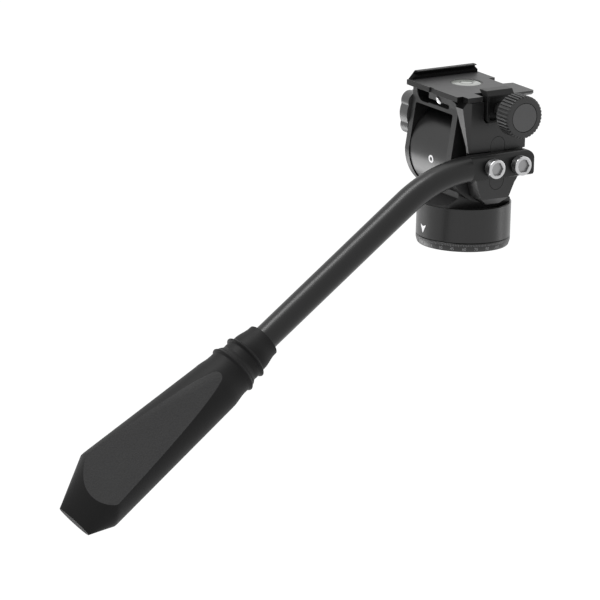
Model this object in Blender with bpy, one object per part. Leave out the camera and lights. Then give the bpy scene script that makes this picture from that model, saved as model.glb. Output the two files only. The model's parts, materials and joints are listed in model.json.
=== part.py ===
"""Compact fluid video head with a side clamp, two lock knobs and a bolted pan handle.

Lengths are in metres. +X is the operator's right, +Y the lens direction, +Z up.
The origin is the centre of the base's underside.
"""
import math

import bmesh
import bpy
from mathutils import Matrix, Vector

# Shared clearances and mesh fineness
GAP = 0.0003
OVERRUN = 0.0020
WELD = 0.000001
LARGE_STEPS = 48
MEDIUM_STEPS = 28
SMALL_STEPS = 16

# Base disc with the scale, and the tripod socket
BASE_RADIUS = 0.0250
BASE_HEIGHT = 0.0047
BASE_FOOT_HEIGHT = 0.0028
BASE_FOOT_INSET = 0.0007
SOCKET_RADIUS = 0.00476
INSERT_RADIUS = 0.0065
INSERT_LENGTH = 0.0095
BASE_SCREW_COUNT = 3
BASE_SCREW_CIRCLE = 0.0140
BASE_SCREW_RADIUS = 0.0015
BASE_SCREW_HEAD_RADIUS = 0.0029
BASE_SCREW_HEAD_HEIGHT = 0.0018
BASE_SCREW_SINK = 0.0005

# Pan axle and damper stack
AXLE_LOWER_RADIUS = 0.0080
AXLE_UPPER_RADIUS = 0.0060
AXLE_FLANGE_RADIUS = 0.0170
AXLE_FLANGE_THICKNESS = 0.0020
WASHER_THICKNESS = 0.0009
WASHER_RADIUS = 0.0130
RETAINER_THICKNESS = 0.0030
ROTOR_THICKNESS = 0.0022
ROTOR_RADIUS = 0.0200
ROTOR_NUT_RADIUS = 0.0090
ROTOR_NUT_HEIGHT = 0.0030

# Pan housing
HOUSING_TOP = 0.0230
HOUSING_FLOOR_TOP = 0.0205
HOUSING_CAVITY_RADIUS = 0.0220
HOUSING_CAVITY_TOP_GAP = 0.0010
HOUSING_RIM_WALL = 0.0015
NECK_FOOT_HALF_DEPTH = 0.0242
NECK_FOOT_TOP = 0.0231
NECK_RIDGE_HALF_DEPTH = 0.0140
NECK_RIDGE_HEIGHT = 0.0280
NECK_WAIST_HALF_DEPTH = 0.0138
NECK_WAIST_HEIGHT = 0.0330

# Drum and tilt axis
TILT_HEIGHT = 0.0492
DRUM_RADIUS = 0.0229
DRUM_BORE_RADIUS = 0.0185
DRUM_END_WALL = 0.0040
DRUM_COVER_THICKNESS = 0.0020
TILT_AXLE_RADIUS = 0.0040
TILT_BUSH_RADIUS = 0.0060
TILT_ROTOR_RADIUS = 0.0150
TILT_ROTOR_THICKNESS = 0.0180
TILT_ROTOR_CENTRE_X = -0.0006
AXLE_CLIP_RADIUS = 0.0050
AXLE_CLIP_THICKNESS = 0.0009

# Tilt bracket
LEFT_CHEEK_OUTER = -0.0226
LEFT_CHEEK_INNER = -0.0190
RIGHT_CHEEK_INNER = 0.0150
RIGHT_CHEEK_OUTER = 0.0193
LOBE_RADIUS = 0.0235
CHEEK_TOP_HALF_DEPTH = 0.0195
CHEEK_SHOULDER_DROP = 0.0092
BRIDGE_BOTTOM_DROP = 0.0121
BRIDGE_TOP_DROP = 0.0107
SLAB_LEFT = -0.0080
SLAB_CORNER_RADIUS = 0.0025
SLOT_RIGHT = 0.0109
SLOT_DROP = 0.0090
BRACKET_CORNER_RADIUS = 0.0055
BRACKET_CORNER_DROP = 0.0052
SLOT_DEPTH = 0.0050
SLOT_HALF_HEIGHT = 0.00125
STOP_PIN_RADIUS = 0.0014
STOP_PIN_LENGTH = 0.0054
STOP_PIN_CENTRE_X = 0.0010
STOP_PIN_DROP = 0.0071
STOP_PIN_INSET = 0.0003
STOP_PIN_SLANT = math.radians(40)

# Platform with its fixed rail
PLATFORM_LEFT = -0.0218
PLATFORM_RIGHT = 0.0297
PLATFORM_REAR = -0.0244
PLATFORM_FRONT = 0.0220
PLATFORM_FRONT_LEFT = 0.0201
PLATFORM_TOP = 0.0862
PLATFORM_THICKNESS = 0.0028
CORNER_NOTCH_X = 0.0248
CORNER_NOTCH_Y = -0.0208
REAR_NOTCH_LEFT = -0.0012
REAR_NOTCH_WIDTH = 0.0040
REAR_NOTCH_DEPTH = 0.0008
FRONT_NOTCH_LEFT = -0.0042
FRONT_NOTCH_WIDTH = 0.0140
FRONT_NOTCH_DEPTH = 0.0060
RAIL_HEIGHT = 0.0044
RAIL_REAR = -0.0195
RAIL_FRONT = 0.0183
RAIL_REAR_SLOPE = 0.0040
RAIL_FRONT_SLOPE = 0.0012
RAIL_WALL_X = -0.0205
RAIL_LIP_X = -0.0185
RAIL_LIP_THICKNESS = 0.0012
PLATFORM_SCREW_RADIUS = 0.0015
PLATFORM_SCREW_HEAD_RADIUS = 0.0027
PLATFORM_SCREW_HEAD_HEIGHT = 0.0020
PLATFORM_SCREW_X = 0.0050
PLATFORM_SCREW_HALF_SPACING = 0.0100
PLATFORM_SCREW_BITE = 0.0018

# Spirit level
LEVEL_CENTRE_X = -0.0018
LEVEL_RADIUS = 0.0084
LEVEL_WALL = 0.0003
LEVEL_FLOOR = 0.0005
LEVEL_CUP_HEIGHT = 0.0020
LEVEL_GLASS_SINK = 0.0004

# Arm-mount plate and its inlay
PLATE_OUTER = 0.0297
PLATE_SLAB_INNER = 0.0200
PAD_HALF_DEPTH = 0.0120
PAD_BOTTOM = 0.0350
PLATE_REAR = -0.0190
PLATE_REAR_TOP = -0.0218
PLATE_REAR_TOP_DROP = 0.0064
PLATE_POCKET_REAR = -0.0202
PLATE_FRONT = 0.0170
PLATE_STEP_HEIGHT = 0.0570
PLATE_CHAMFER_REAR = -0.0182
PLATE_CHAMFER_TURN = math.radians(49)
PLATE_WEDGE_X = 0.0270
PLATE_WEDGE_LOW = 0.0590
PLATE_WEDGE_FOOT = 0.0515
LOBE_SHOULDER_HALF = 0.0165
LOBE_SHOULDER_HEIGHT = 0.0480
LOBE_FLANK_HALF = 0.0133
LOBE_FLANK_HEIGHT = 0.0395
LOBE_FOOT_HALF = 0.0100
LOBE_FOOT_HEIGHT = 0.0300
LOBE_BOTTOM_HALF = 0.0042
LOBE_BOTTOM = 0.0262
LOBE_CHAMFER = 0.0037
CHANNEL_BOTTOM = 0.0500
CHANNEL_TOP = 0.0560
CHANNEL_DEPTH = 0.0025
ARM_CENTRE_Y = -0.0006
INLAY_HALF_LENGTH = 0.0143
INLAY_HALF_WIDTH = 0.0044
INLAY_DEPTH = 0.0037

# Jaw, its pins and its springs
JAW_REAR = -0.0097
JAW_FRONT = 0.0072
JAW_INNER = 0.0265
JAW_OUTER = 0.0320
JAW_BOTTOM_DROP = 0.0142
JAW_CORNER_RADIUS = 0.0022
JAW_SHOULDER_RISE = 0.0004
JAW_SLOPE_HEIGHT = 0.0026
JAW_TOP_OUTER = 0.0303
JAW_LIP_X = 0.0240
JAW_LIP_THICKNESS = 0.0008
JAW_RECESS_RIM = 0.0014
JAW_RECESS_DEPTH = 0.0020
JAW_TRAVEL_IN = 0.0030
JAW_POCKET_CLEARANCE = 0.0006
JAW_SLOT_INNER = 0.0215
JAW_SLOT_REAR = -0.0112
JAW_SLOT_FRONT = 0.0084
GUIDE_PIN_RADIUS = 0.0013
GUIDE_PIN_DROP = 0.0074
GUIDE_PIN_REAR_Y = -0.0065
GUIDE_PIN_FRONT_Y = 0.0055
GUIDE_PIN_INNER_END = 0.0198
GUIDE_PIN_BITE = 0.0030
SPRING_RADIUS = 0.0024
SPRING_INNER_END = 0.0204

# Clamp knob and screw
KNOB_Y = -0.0005
KNOB_DROP = 0.0076
CLAMP_SCREW_RADIUS = 0.0020
CLAMP_SCREW_INNER_END = 0.0198
KNOB_NECK_RADIUS = 0.0038
KNOB_NECK_LENGTH = 0.0106
KNOB_RADIUS = 0.0115
KNOB_RIB_DEPTH = 0.0006
KNOB_RIB_COUNT = 36
KNOB_WIDTH = 0.0105
KNOB_EDGE = 0.0008
KNOB_CAP_RADIUS = 0.0078
KNOB_CAP_THICKNESS = 0.0012
KNOB_BORE_DEPTH = 0.0070

# Tilt lock knob on the left cheek
TILT_LOCK_Y = -0.0106
TILT_LOCK_HEIGHT = 0.0665
TILT_LOCK_STUD_RADIUS = 0.0025
TILT_LOCK_LOBE_CIRCLE = 0.0092
TILT_LOCK_LOBE_RADIUS = 0.0050
TILT_LOCK_WAIST_RADIUS = 0.0104
TILT_LOCK_WIDTH = 0.0068
TILT_LOCK_LOBES = 4

# Pan lock knob on the housing's far side
PAN_LOCK_ANGLE = math.radians(145)
PAN_LOCK_STUD_RADIUS = 0.0015
PAN_LOCK_KNOB_RADIUS = 0.0070
PAN_LOCK_KNOB_WIDTH = 0.0080
PAN_LOCK_NECK_RADIUS = 0.0040
PAN_LOCK_NECK_LENGTH = 0.0025
PAN_LOCK_RIB_DEPTH = 0.0005
PAN_LOCK_RIB_COUNT = 18

# Handle
TUBE_RADIUS = 0.0070
ARM_THICKNESS = 0.0070
ARM_FRONT = 0.0182
ARM_FLAT_REAR = -0.0225
ARM_TOP_CORNER = 0.0047
ARM_LOW_CORNER = 0.0025
ARM_TOP_ROUND_X = 0.0028
ARM_TOP_ROUND_Z = 0.0038
ARM_LOW_ROUND = 0.0014
HANDLE_DROP = math.radians(36.1)
HANDLE_BEND_RADIUS = 0.0750
HANDLE_CORNER_Y = -0.0415
COLLAR_DISTANCE = 0.1335
TUBE_IN_GRIP = 0.1000
BEND_STEPS = 9
BOLT_HALF_SPACING = 0.0084
BOLT_RADIUS = 0.0030
BOLT_HEAD_RADIUS = 0.0049
BOLT_HEAD_HEIGHT = 0.0060
BOLT_HEAD_EDGE = 0.0006
BOLT_SOCKET_FLATS = 0.0050
BOLT_SOCKET_DEPTH = 0.0030
BOLT_INNER_END = 0.0206
BOLT_WASHER_RADIUS = 0.0048
BOLT_WASHER_THICKNESS = 0.0008

# Grip: ring places along the axis from the collar's end, with radius and sideways offset
GRIP_LENGTH = 0.1445
GRIP_ROLL = math.radians(46)
COLLAR_RADIUS = 0.0096
COLLAR_LENGTH = 0.0107
COLLAR_FLARE_RADIUS = 0.0112
RIDGE_1_PLACE = 0.0140
RIDGE_1_RADIUS = 0.0131
RIDGE_2_PLACE = 0.0237
RIDGE_2_RADIUS = 0.0143
RIDGE_HALF_WIDTH = 0.0016
VALLEY_RADIUS = 0.0117
BODY_START = 0.0275
BODY_START_RADIUS = 0.0132
SWELL_PLACE = 0.0380
SWELL_RADIUS = 0.0145
BODY_WIDEST = 0.1200
BODY_WIDEST_RADIUS = 0.0198
BODY_WIDEST_OFFSET = 0.0036
GRIP_END_HALF_WIDTH = 0.0105
GRIP_END_HALF_DEPTH = 0.0025
GRIP_END_WIDTH_SLOPE = 0.43
GRIP_END_DEPTH_SLOPE = 0.71
FLAT_START_DISTANCE = 0.0141
FLAT_START_PLACE = 0.0356
FLAT_SLOPE = -0.0240
GRIP_STEPS = 32
GRIP_BODY_RINGS = 12
GRIP_BORE_FLOOR = 0.0010


def clear_scene():
    """Remove every object that the file opened with."""
    for item in list(bpy.data.objects):
        bpy.data.objects.remove(item, do_unlink=True)


def finish(name, colour, roughness, metallic):
    """Make a plain material."""
    material = bpy.data.materials.new(name)
    material.use_nodes = True
    shader = material.node_tree.nodes["Principled BSDF"]
    shader.inputs["Base Color"].default_value = (*colour, 1)
    shader.inputs["Roughness"].default_value = roughness
    shader.inputs["Metallic"].default_value = metallic
    material.diffuse_color = (*colour, 1)
    return material


def arc(centre, radius, start, end, steps):
    """Points on a circle's arc in a plane, both ends included."""
    points = []
    for step in range(steps + 1):
        angle = start + (end - start) * step / steps
        points.append((centre[0] + radius * math.cos(angle), centre[1] + radius * math.sin(angle)))
    return points


def along(axis):
    """Turn that carries +Z onto the named axis."""
    if axis == "X":
        return Matrix.Rotation(math.pi / 2, 4, "Y")
    if axis == "Y":
        return Matrix.Rotation(-math.pi / 2, 4, "X")
    return Matrix.Identity(4)


def turned(profile, centre=(0, 0, 0), axis="Z", steps=LARGE_STEPS):
    """Spin a (radius, place along the axis) profile into a closed solid."""
    mesh = bmesh.new()
    points = [mesh.verts.new((radius, 0, place)) for radius, place in profile]
    edges = [mesh.edges.new(pair) for pair in zip(points, points[1:])]
    if all(radius > 0 for radius, place in profile):
        edges.append(mesh.edges.new((points[-1], points[0])))
    bmesh.ops.spin(mesh, geom=points + edges, cent=(0, 0, 0), axis=(0, 0, 1),
                   angle=math.tau, steps=steps, use_merge=True)
    bmesh.ops.remove_doubles(mesh, verts=mesh.verts, dist=WELD)
    bmesh.ops.recalc_face_normals(mesh, faces=mesh.faces)
    mesh.transform(Matrix.Translation(centre) @ along(axis))
    return mesh


def rod(radius, low, high, centre=(0, 0, 0), axis="Z", steps=SMALL_STEPS):
    """Plain round bar between two places along its axis."""
    return turned([(0, low), (radius, low), (radius, high), (0, high)], centre, axis, steps)


def ring(inner, outer, low, high, centre=(0, 0, 0), axis="Z", steps=MEDIUM_STEPS):
    """Plain round ring between two places along its axis."""
    profile = [(inner, low), (outer, low), (outer, high), (inner, high)]
    return turned(profile, centre, axis, steps)


def prism(outline, low, high, axis):
    """Extrude a flat outline: (y, z) along X, (x, z) along Y or (x, y) along Z."""
    mesh = bmesh.new()
    places = {"X": lambda a, b: (low, a, b), "Y": lambda a, b: (a, low, b), "Z": lambda a, b: (a, b, low)}
    face = mesh.faces.new([mesh.verts.new(places[axis](*point)) for point in outline])
    grown = bmesh.ops.extrude_face_region(mesh, geom=[face])
    step = {"X": (high - low, 0, 0), "Y": (0, high - low, 0), "Z": (0, 0, high - low)}[axis]
    moved = [item for item in grown["geom"] if isinstance(item, bmesh.types.BMVert)]
    bmesh.ops.translate(mesh, verts=moved, vec=step)
    bmesh.ops.recalc_face_normals(mesh, faces=mesh.faces)
    return mesh


def block(x_low, x_high, y_low, y_high, z_low, z_high):
    """Plain box between two corners."""
    outline = [(x_low, y_low), (x_high, y_low), (x_high, y_high), (x_low, y_high)]
    return prism(outline, z_low, z_high, "Z")


def stand_in(mesh):
    """Put a bmesh in a scratch object for a boolean."""
    data = bpy.data.meshes.new("scratch")
    mesh.to_mesh(data)
    mesh.free()
    item = bpy.data.objects.new("scratch", data)
    bpy.context.scene.collection.objects.link(item)
    return item


def combine(mesh, operation, *tools):
    """Join tools to a bmesh, or cut them from it, one after the other."""
    for tool in tools:
        target = stand_in(mesh)
        scratch = stand_in(tool)
        step = target.modifiers.new(operation, "BOOLEAN")
        step.operation = operation
        step.solver = "EXACT"
        step.object = scratch
        graph = bpy.context.evaluated_depsgraph_get()
        mesh = bmesh.new()
        mesh.from_mesh(target.evaluated_get(graph).to_mesh())
        bmesh.ops.remove_doubles(mesh, verts=mesh.verts, dist=WELD)
        bmesh.ops.dissolve_degenerate(mesh, edges=mesh.edges, dist=WELD)
        bpy.data.objects.remove(target, do_unlink=True)
        bpy.data.objects.remove(scratch, do_unlink=True)
    return mesh


def cut(mesh, *tools):
    """Cut tools from a bmesh."""
    return combine(mesh, "DIFFERENCE", *tools)


def join(mesh, *tools):
    """Join tools to a bmesh."""
    return combine(mesh, "UNION", *tools)


def slice_off(mesh, point, normal):
    """Remove what lies beyond a plane and close the cut with a flat face."""
    parts = list(mesh.verts) + list(mesh.edges) + list(mesh.faces)
    cut_line = bmesh.ops.bisect_plane(mesh, geom=parts, dist=WELD, plane_co=point,
                                      plane_no=normal, clear_outer=True)
    rim = [item for item in cut_line["geom_cut"] if isinstance(item, bmesh.types.BMEdge)]
    bmesh.ops.edgeloop_fill(mesh, edges=rim)
    bmesh.ops.recalc_face_normals(mesh, faces=mesh.faces)
    return mesh


class Carrier:
    """A moving group: an empty on the joint's axis that its pieces hang from."""

    def __init__(self, name, origin, parent=None):
        self.origin = Vector(origin)
        self.empty = bpy.data.objects.new(name, None)
        bpy.context.scene.collection.objects.link(self.empty)
        if parent:
            self.empty.parent = parent.empty
            self.empty.location = self.origin - parent.origin
        else:
            self.empty.location = self.origin

    def add(self, name, mesh, material):
        """Hang a finished solid, modelled in world places, from this group."""
        mesh.transform(Matrix.Translation(-self.origin))
        data = bpy.data.meshes.new(name)
        mesh.to_mesh(data)
        mesh.free()
        data.materials.clear()
        data.materials.append(material)
        data.shade_smooth()
        data.set_sharp_from_angle(angle=math.radians(30))
        item = bpy.data.objects.new(name, data)
        bpy.context.scene.collection.objects.link(item)
        item.parent = self.empty
        return item


# Places that follow from the sizes above
HOUSING_BOTTOM = BASE_HEIGHT + GAP
FLANGE_TOP = HOUSING_BOTTOM + AXLE_FLANGE_THICKNESS
WASHER_BOTTOM = FLANGE_TOP + GAP
RETAINER_BOTTOM = WASHER_BOTTOM + WASHER_THICKNESS + GAP
ROTOR_BOTTOM = RETAINER_BOTTOM + RETAINER_THICKNESS + GAP
ROTOR_TOP = ROTOR_BOTTOM + ROTOR_THICKNESS
ROTOR_NUT_BOTTOM = ROTOR_TOP + GAP
ROTOR_NUT_TOP = ROTOR_NUT_BOTTOM + ROTOR_NUT_HEIGHT
CAVITY_TOP = ROTOR_TOP + HOUSING_CAVITY_TOP_GAP
AXLE_TOP = ROTOR_NUT_TOP - GAP
DRUM_LEFT = LEFT_CHEEK_INNER + GAP
DRUM_RIGHT = RIGHT_CHEEK_INNER - GAP
TILT_CENTRE = (0, 0, TILT_HEIGHT)
PLATFORM_BOTTOM = PLATFORM_TOP - PLATFORM_THICKNESS
BRACKET_TOP = PLATFORM_BOTTOM - GAP
CHEEK_SHOULDER_HEIGHT = PLATFORM_TOP - CHEEK_SHOULDER_DROP
BRIDGE_BOTTOM = PLATFORM_TOP - BRIDGE_BOTTOM_DROP
BRIDGE_TOP = PLATFORM_TOP - BRIDGE_TOP_DROP
RAIL_TOP = PLATFORM_TOP + RAIL_HEIGHT
JAW_BOTTOM = PLATFORM_TOP - JAW_BOTTOM_DROP
JAW_SHOULDER_HEIGHT = PLATFORM_TOP + JAW_SHOULDER_RISE
JAW_TOP = JAW_SHOULDER_HEIGHT + JAW_SLOPE_HEIGHT
GUIDE_PIN_HEIGHT = PLATFORM_TOP - GUIDE_PIN_DROP
KNOB_HEIGHT = PLATFORM_TOP - KNOB_DROP
PLATE_INNER = RIGHT_CHEEK_OUTER + GAP
ARM_INNER = PLATE_OUTER + GAP
ARM_OUTER = ARM_INNER + ARM_THICKNESS
ARM_CENTRE_X = (ARM_INNER + ARM_OUTER) / 2
SLOT_HEIGHT = PLATFORM_TOP - SLOT_DROP
JAW_POCKET_FLOOR = JAW_INNER - JAW_TRAVEL_IN - GAP
PIN_BORE_END = GUIDE_PIN_INNER_END - JAW_TRAVEL_IN - GAP
SCREW_BORE_END = CLAMP_SCREW_INNER_END - JAW_TRAVEL_IN - GAP
KNOB_INNER = JAW_OUTER + KNOB_NECK_LENGTH
KNOB_FACE = KNOB_INNER + KNOB_WIDTH
TILT_LOCK_FACE = LEFT_CHEEK_OUTER - GAP
PAN_LOCK_HEIGHT = ROTOR_BOTTOM + PAN_LOCK_STUD_RADIUS
PAN_LOCK_DIRECTION = Vector((math.cos(PAN_LOCK_ANGLE), math.sin(PAN_LOCK_ANGLE), 0))
HANDLE_AXIS = Vector((0, -math.cos(HANDLE_DROP), -math.sin(HANDLE_DROP)))
HANDLE_UP = Vector((0, -math.sin(HANDLE_DROP), math.cos(HANDLE_DROP)))
HANDLE_CORNER = Vector((ARM_CENTRE_X, HANDLE_CORNER_Y, TILT_HEIGHT))
COLLAR_END = HANDLE_CORNER + HANDLE_AXIS * COLLAR_DISTANCE
GRIP_FLAT_NORMAL = Vector((math.cos(GRIP_ROLL), 0, 0)) + HANDLE_UP * math.sin(GRIP_ROLL)
GRIP_WIDE_DIRECTION = Vector((-math.sin(GRIP_ROLL), 0, 0)) + HANDLE_UP * math.cos(GRIP_ROLL)


def screw_places():
    """Centres of the screws under the base, evenly round their circle."""
    turns = [math.tau * index / BASE_SCREW_COUNT for index in range(BASE_SCREW_COUNT)]
    return [(BASE_SCREW_CIRCLE * math.cos(turn), BASE_SCREW_CIRCLE * math.sin(turn), 0) for turn in turns]


def base_pieces(base, paint, steel, plastic):
    """Scale disc, tripod socket, axle and the fixed half of the pan damper."""
    foot = BASE_RADIUS - BASE_FOOT_INSET
    bore = AXLE_LOWER_RADIUS + GAP
    disc = turned([(bore, 0), (foot, 0), (BASE_RADIUS, BASE_FOOT_HEIGHT), (BASE_RADIUS, BASE_HEIGHT),
                   (bore, BASE_HEIGHT)])
    hole = BASE_SCREW_RADIUS + GAP
    head = BASE_SCREW_HEAD_RADIUS + GAP
    head_top = BASE_SCREW_SINK + BASE_SCREW_HEAD_HEIGHT
    holes = []
    for place in screw_places():
        holes.append(turned([(0, -OVERRUN), (head, -OVERRUN), (head, BASE_SCREW_SINK),
                             (hole, head_top + GAP), (hole, BASE_HEIGHT + OVERRUN),
                             (0, BASE_HEIGHT + OVERRUN)], place, steps=SMALL_STEPS))
    base.add("base_ring", cut(disc, *holes), paint)
    base.add("thread_insert", ring(SOCKET_RADIUS, INSERT_RADIUS, 0, INSERT_LENGTH), steel)
    axle = turned([(INSERT_RADIUS + GAP, 0), (AXLE_LOWER_RADIUS, 0), (AXLE_LOWER_RADIUS, HOUSING_BOTTOM),
                   (AXLE_FLANGE_RADIUS, HOUSING_BOTTOM), (AXLE_FLANGE_RADIUS, FLANGE_TOP),
                   (AXLE_LOWER_RADIUS, FLANGE_TOP), (AXLE_LOWER_RADIUS, ROTOR_BOTTOM - GAP),
                   (AXLE_UPPER_RADIUS, ROTOR_BOTTOM - GAP), (AXLE_UPPER_RADIUS, AXLE_TOP), (SOCKET_RADIUS, AXLE_TOP),
                   (SOCKET_RADIUS, INSERT_LENGTH + GAP), (INSERT_RADIUS + GAP, INSERT_LENGTH + GAP)],
                  steps=MEDIUM_STEPS)
    flange_holes = [rod(hole, HOUSING_BOTTOM - OVERRUN, FLANGE_TOP + OVERRUN, place) for place in screw_places()]
    base.add("pan_axle", cut(axle, *flange_holes), steel)
    for number, place in enumerate(screw_places(), 1):
        screw = turned([(0, BASE_SCREW_SINK), (BASE_SCREW_HEAD_RADIUS, BASE_SCREW_SINK),
                        (BASE_SCREW_RADIUS, head_top), (BASE_SCREW_RADIUS, FLANGE_TOP), (0, FLANGE_TOP)],
                       place, steps=SMALL_STEPS)
        base.add(f"base_screw_{number}", screw, steel)
    washer_top = WASHER_BOTTOM + WASHER_THICKNESS
    washer = ring(AXLE_LOWER_RADIUS + GAP, WASHER_RADIUS, WASHER_BOTTOM, washer_top)
    base.add("pan_thrust_washer", washer, plastic)
    rotor = ring(AXLE_UPPER_RADIUS + GAP, ROTOR_RADIUS, ROTOR_BOTTOM, ROTOR_TOP, steps=LARGE_STEPS)
    base.add("pan_damper_rotor", rotor, steel)
    nut = ring(AXLE_UPPER_RADIUS + GAP, ROTOR_NUT_RADIUS, ROTOR_NUT_BOTTOM, ROTOR_NUT_TOP, steps=SMALL_STEPS)
    base.add("pan_rotor_nut", nut, steel)


def pan_pieces(pan, paint, steel, bronze):
    """Housing with saddle and drum, its retainer, drum cover and tilt bushes."""
    rim = BASE_RADIUS - HOUSING_RIM_WALL
    pocket = ROTOR_NUT_RADIUS + GAP
    pocket_top = ROTOR_NUT_TOP + GAP
    shell = turned([(0, pocket_top), (pocket, pocket_top), (pocket, CAVITY_TOP),
                    (HOUSING_CAVITY_RADIUS, CAVITY_TOP), (HOUSING_CAVITY_RADIUS, HOUSING_BOTTOM),
                    (BASE_RADIUS, HOUSING_BOTTOM), (BASE_RADIUS, HOUSING_TOP), (rim, HOUSING_TOP),
                    (rim, HOUSING_FLOOR_TOP), (0, HOUSING_FLOOR_TOP)])
    neck_foot = HOUSING_FLOOR_TOP - GAP
    neck = prism([(-NECK_FOOT_HALF_DEPTH, neck_foot), (NECK_FOOT_HALF_DEPTH, neck_foot),
                  (NECK_FOOT_HALF_DEPTH, NECK_FOOT_TOP), (NECK_RIDGE_HALF_DEPTH, NECK_RIDGE_HEIGHT),
                  (NECK_WAIST_HALF_DEPTH, NECK_WAIST_HEIGHT), (-NECK_WAIST_HALF_DEPTH, NECK_WAIST_HEIGHT),
                  (-NECK_RIDGE_HALF_DEPTH, NECK_RIDGE_HEIGHT), (-NECK_FOOT_HALF_DEPTH, NECK_FOOT_TOP)],
                 DRUM_LEFT + GAP, DRUM_RIGHT - GAP, "X")
    round_limit = rod(rim + HOUSING_RIM_WALL / 2, neck_foot - OVERRUN, TILT_HEIGHT, steps=LARGE_STEPS)
    neck = combine(neck, "INTERSECT", round_limit)
    drum = rod(DRUM_RADIUS, DRUM_LEFT, DRUM_RIGHT, TILT_CENTRE, "X", LARGE_STEPS)
    casting = join(shell, neck, drum)
    hollow = rod(DRUM_BORE_RADIUS, DRUM_LEFT + DRUM_END_WALL, DRUM_RIGHT + OVERRUN, TILT_CENTRE, "X", LARGE_STEPS)
    axle_bore = rod(TILT_BUSH_RADIUS + GAP, DRUM_LEFT - OVERRUN, DRUM_LEFT + DRUM_END_WALL + OVERRUN,
                    TILT_CENTRE, "X", MEDIUM_STEPS)
    lock_bore = rod(PAN_LOCK_STUD_RADIUS + GAP, ROTOR_RADIUS, BASE_RADIUS + OVERRUN)
    place_on_pan_lock(lock_bore)
    pan.add("pan_housing", cut(casting, hollow, axle_bore, lock_bore), paint)
    retainer = ring(AXLE_LOWER_RADIUS + GAP, HOUSING_CAVITY_RADIUS - GAP, RETAINER_BOTTOM,
                    RETAINER_BOTTOM + RETAINER_THICKNESS, steps=LARGE_STEPS)
    pan.add("pan_retainer_ring", retainer, steel)
    cover_left = DRUM_RIGHT - DRUM_COVER_THICKNESS
    cover = ring(TILT_BUSH_RADIUS + GAP, DRUM_BORE_RADIUS - GAP, cover_left, DRUM_RIGHT, TILT_CENTRE, "X",
                 LARGE_STEPS)
    pan.add("drum_cover", cover, paint)
    bush = TILT_AXLE_RADIUS + GAP
    left_bush = ring(bush, TILT_BUSH_RADIUS, DRUM_LEFT, DRUM_LEFT + DRUM_END_WALL, TILT_CENTRE, "X")
    pan.add("tilt_bush_left", left_bush, bronze)
    pan.add("tilt_bush_right", ring(bush, TILT_BUSH_RADIUS, cover_left, DRUM_RIGHT, TILT_CENTRE, "X"), bronze)


def place_on_pan_lock(mesh):
    """Carry a solid built round +Z onto the pan lock's radial axis."""
    turn = PAN_LOCK_DIRECTION.to_track_quat("Z", "Y").to_matrix().to_4x4()
    mesh.transform(Matrix.Translation((0, 0, PAN_LOCK_HEIGHT)) @ turn)
    return mesh


def ribbed_disc(radius, depth, count, low, high):
    """Round disc with square ribs round its edge, along Z."""
    outline = []
    for index in range(count):
        for share, reach in ((0.0, radius), (0.5, radius), (0.5, radius - depth), (1.0, radius - depth)):
            turn = math.tau * (index + share) / count
            outline.append((reach * math.cos(turn), reach * math.sin(turn)))
    return prism(outline, low, high, "Z")


def pan_lock_pieces(pan_lock, plastic, steel):
    """Small ribbed knob and its stud, which bears on the fixed rotor."""
    neck_start = BASE_RADIUS + GAP
    knob_start = neck_start + PAN_LOCK_NECK_LENGTH
    knob_end = knob_start + PAN_LOCK_KNOB_WIDTH
    stud_end = knob_start + PAN_LOCK_KNOB_WIDTH / 2
    knob = ribbed_disc(PAN_LOCK_KNOB_RADIUS, PAN_LOCK_RIB_DEPTH, PAN_LOCK_RIB_COUNT, knob_start, knob_end)
    neck = rod(PAN_LOCK_NECK_RADIUS, neck_start, knob_start + OVERRUN)
    bore = rod(PAN_LOCK_STUD_RADIUS + GAP, neck_start - OVERRUN, stud_end + GAP)
    pan_lock.add("pan_lock_knob", place_on_pan_lock(cut(join(knob, neck), bore)), plastic)
    stud = rod(PAN_LOCK_STUD_RADIUS, ROTOR_RADIUS + GAP, stud_end)
    pan_lock.add("pan_lock_stud", place_on_pan_lock(stud), steel)


def cheek_outline():
    """Cheek seen along X: round lobe about the axis, slanted edges, square top."""
    lobe = arc((0, TILT_HEIGHT), LOBE_RADIUS, -math.pi, 0, LARGE_STEPS // 2)
    return lobe + [(CHEEK_TOP_HALF_DEPTH, CHEEK_SHOULDER_HEIGHT), (CHEEK_TOP_HALF_DEPTH, BRACKET_TOP),
                   (-CHEEK_TOP_HALF_DEPTH, BRACKET_TOP), (-CHEEK_TOP_HALF_DEPTH, CHEEK_SHOULDER_HEIGHT)]


def stop_pin(clearance):
    """Barrel-shaped pin on its slanted axis, or the groove for it when given a clearance."""
    radius = STOP_PIN_RADIUS + clearance
    half = STOP_PIN_LENGTH / 2 + clearance
    turns = [math.pi * (step / SMALL_STEPS - 0.5) for step in range(1, SMALL_STEPS)]
    barrel = [(radius * math.cos(turn), half * math.sin(turn)) for turn in turns]
    pin = turned([(0, -half)] + barrel + [(0, half)], steps=SMALL_STEPS)
    centre = (STOP_PIN_CENTRE_X, -CHEEK_TOP_HALF_DEPTH + STOP_PIN_INSET, PLATFORM_TOP - STOP_PIN_DROP)
    pin.transform(Matrix.Translation(centre) @ Matrix.Rotation(math.pi / 2 + STOP_PIN_SLANT, 4, "Y"))
    return pin


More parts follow.
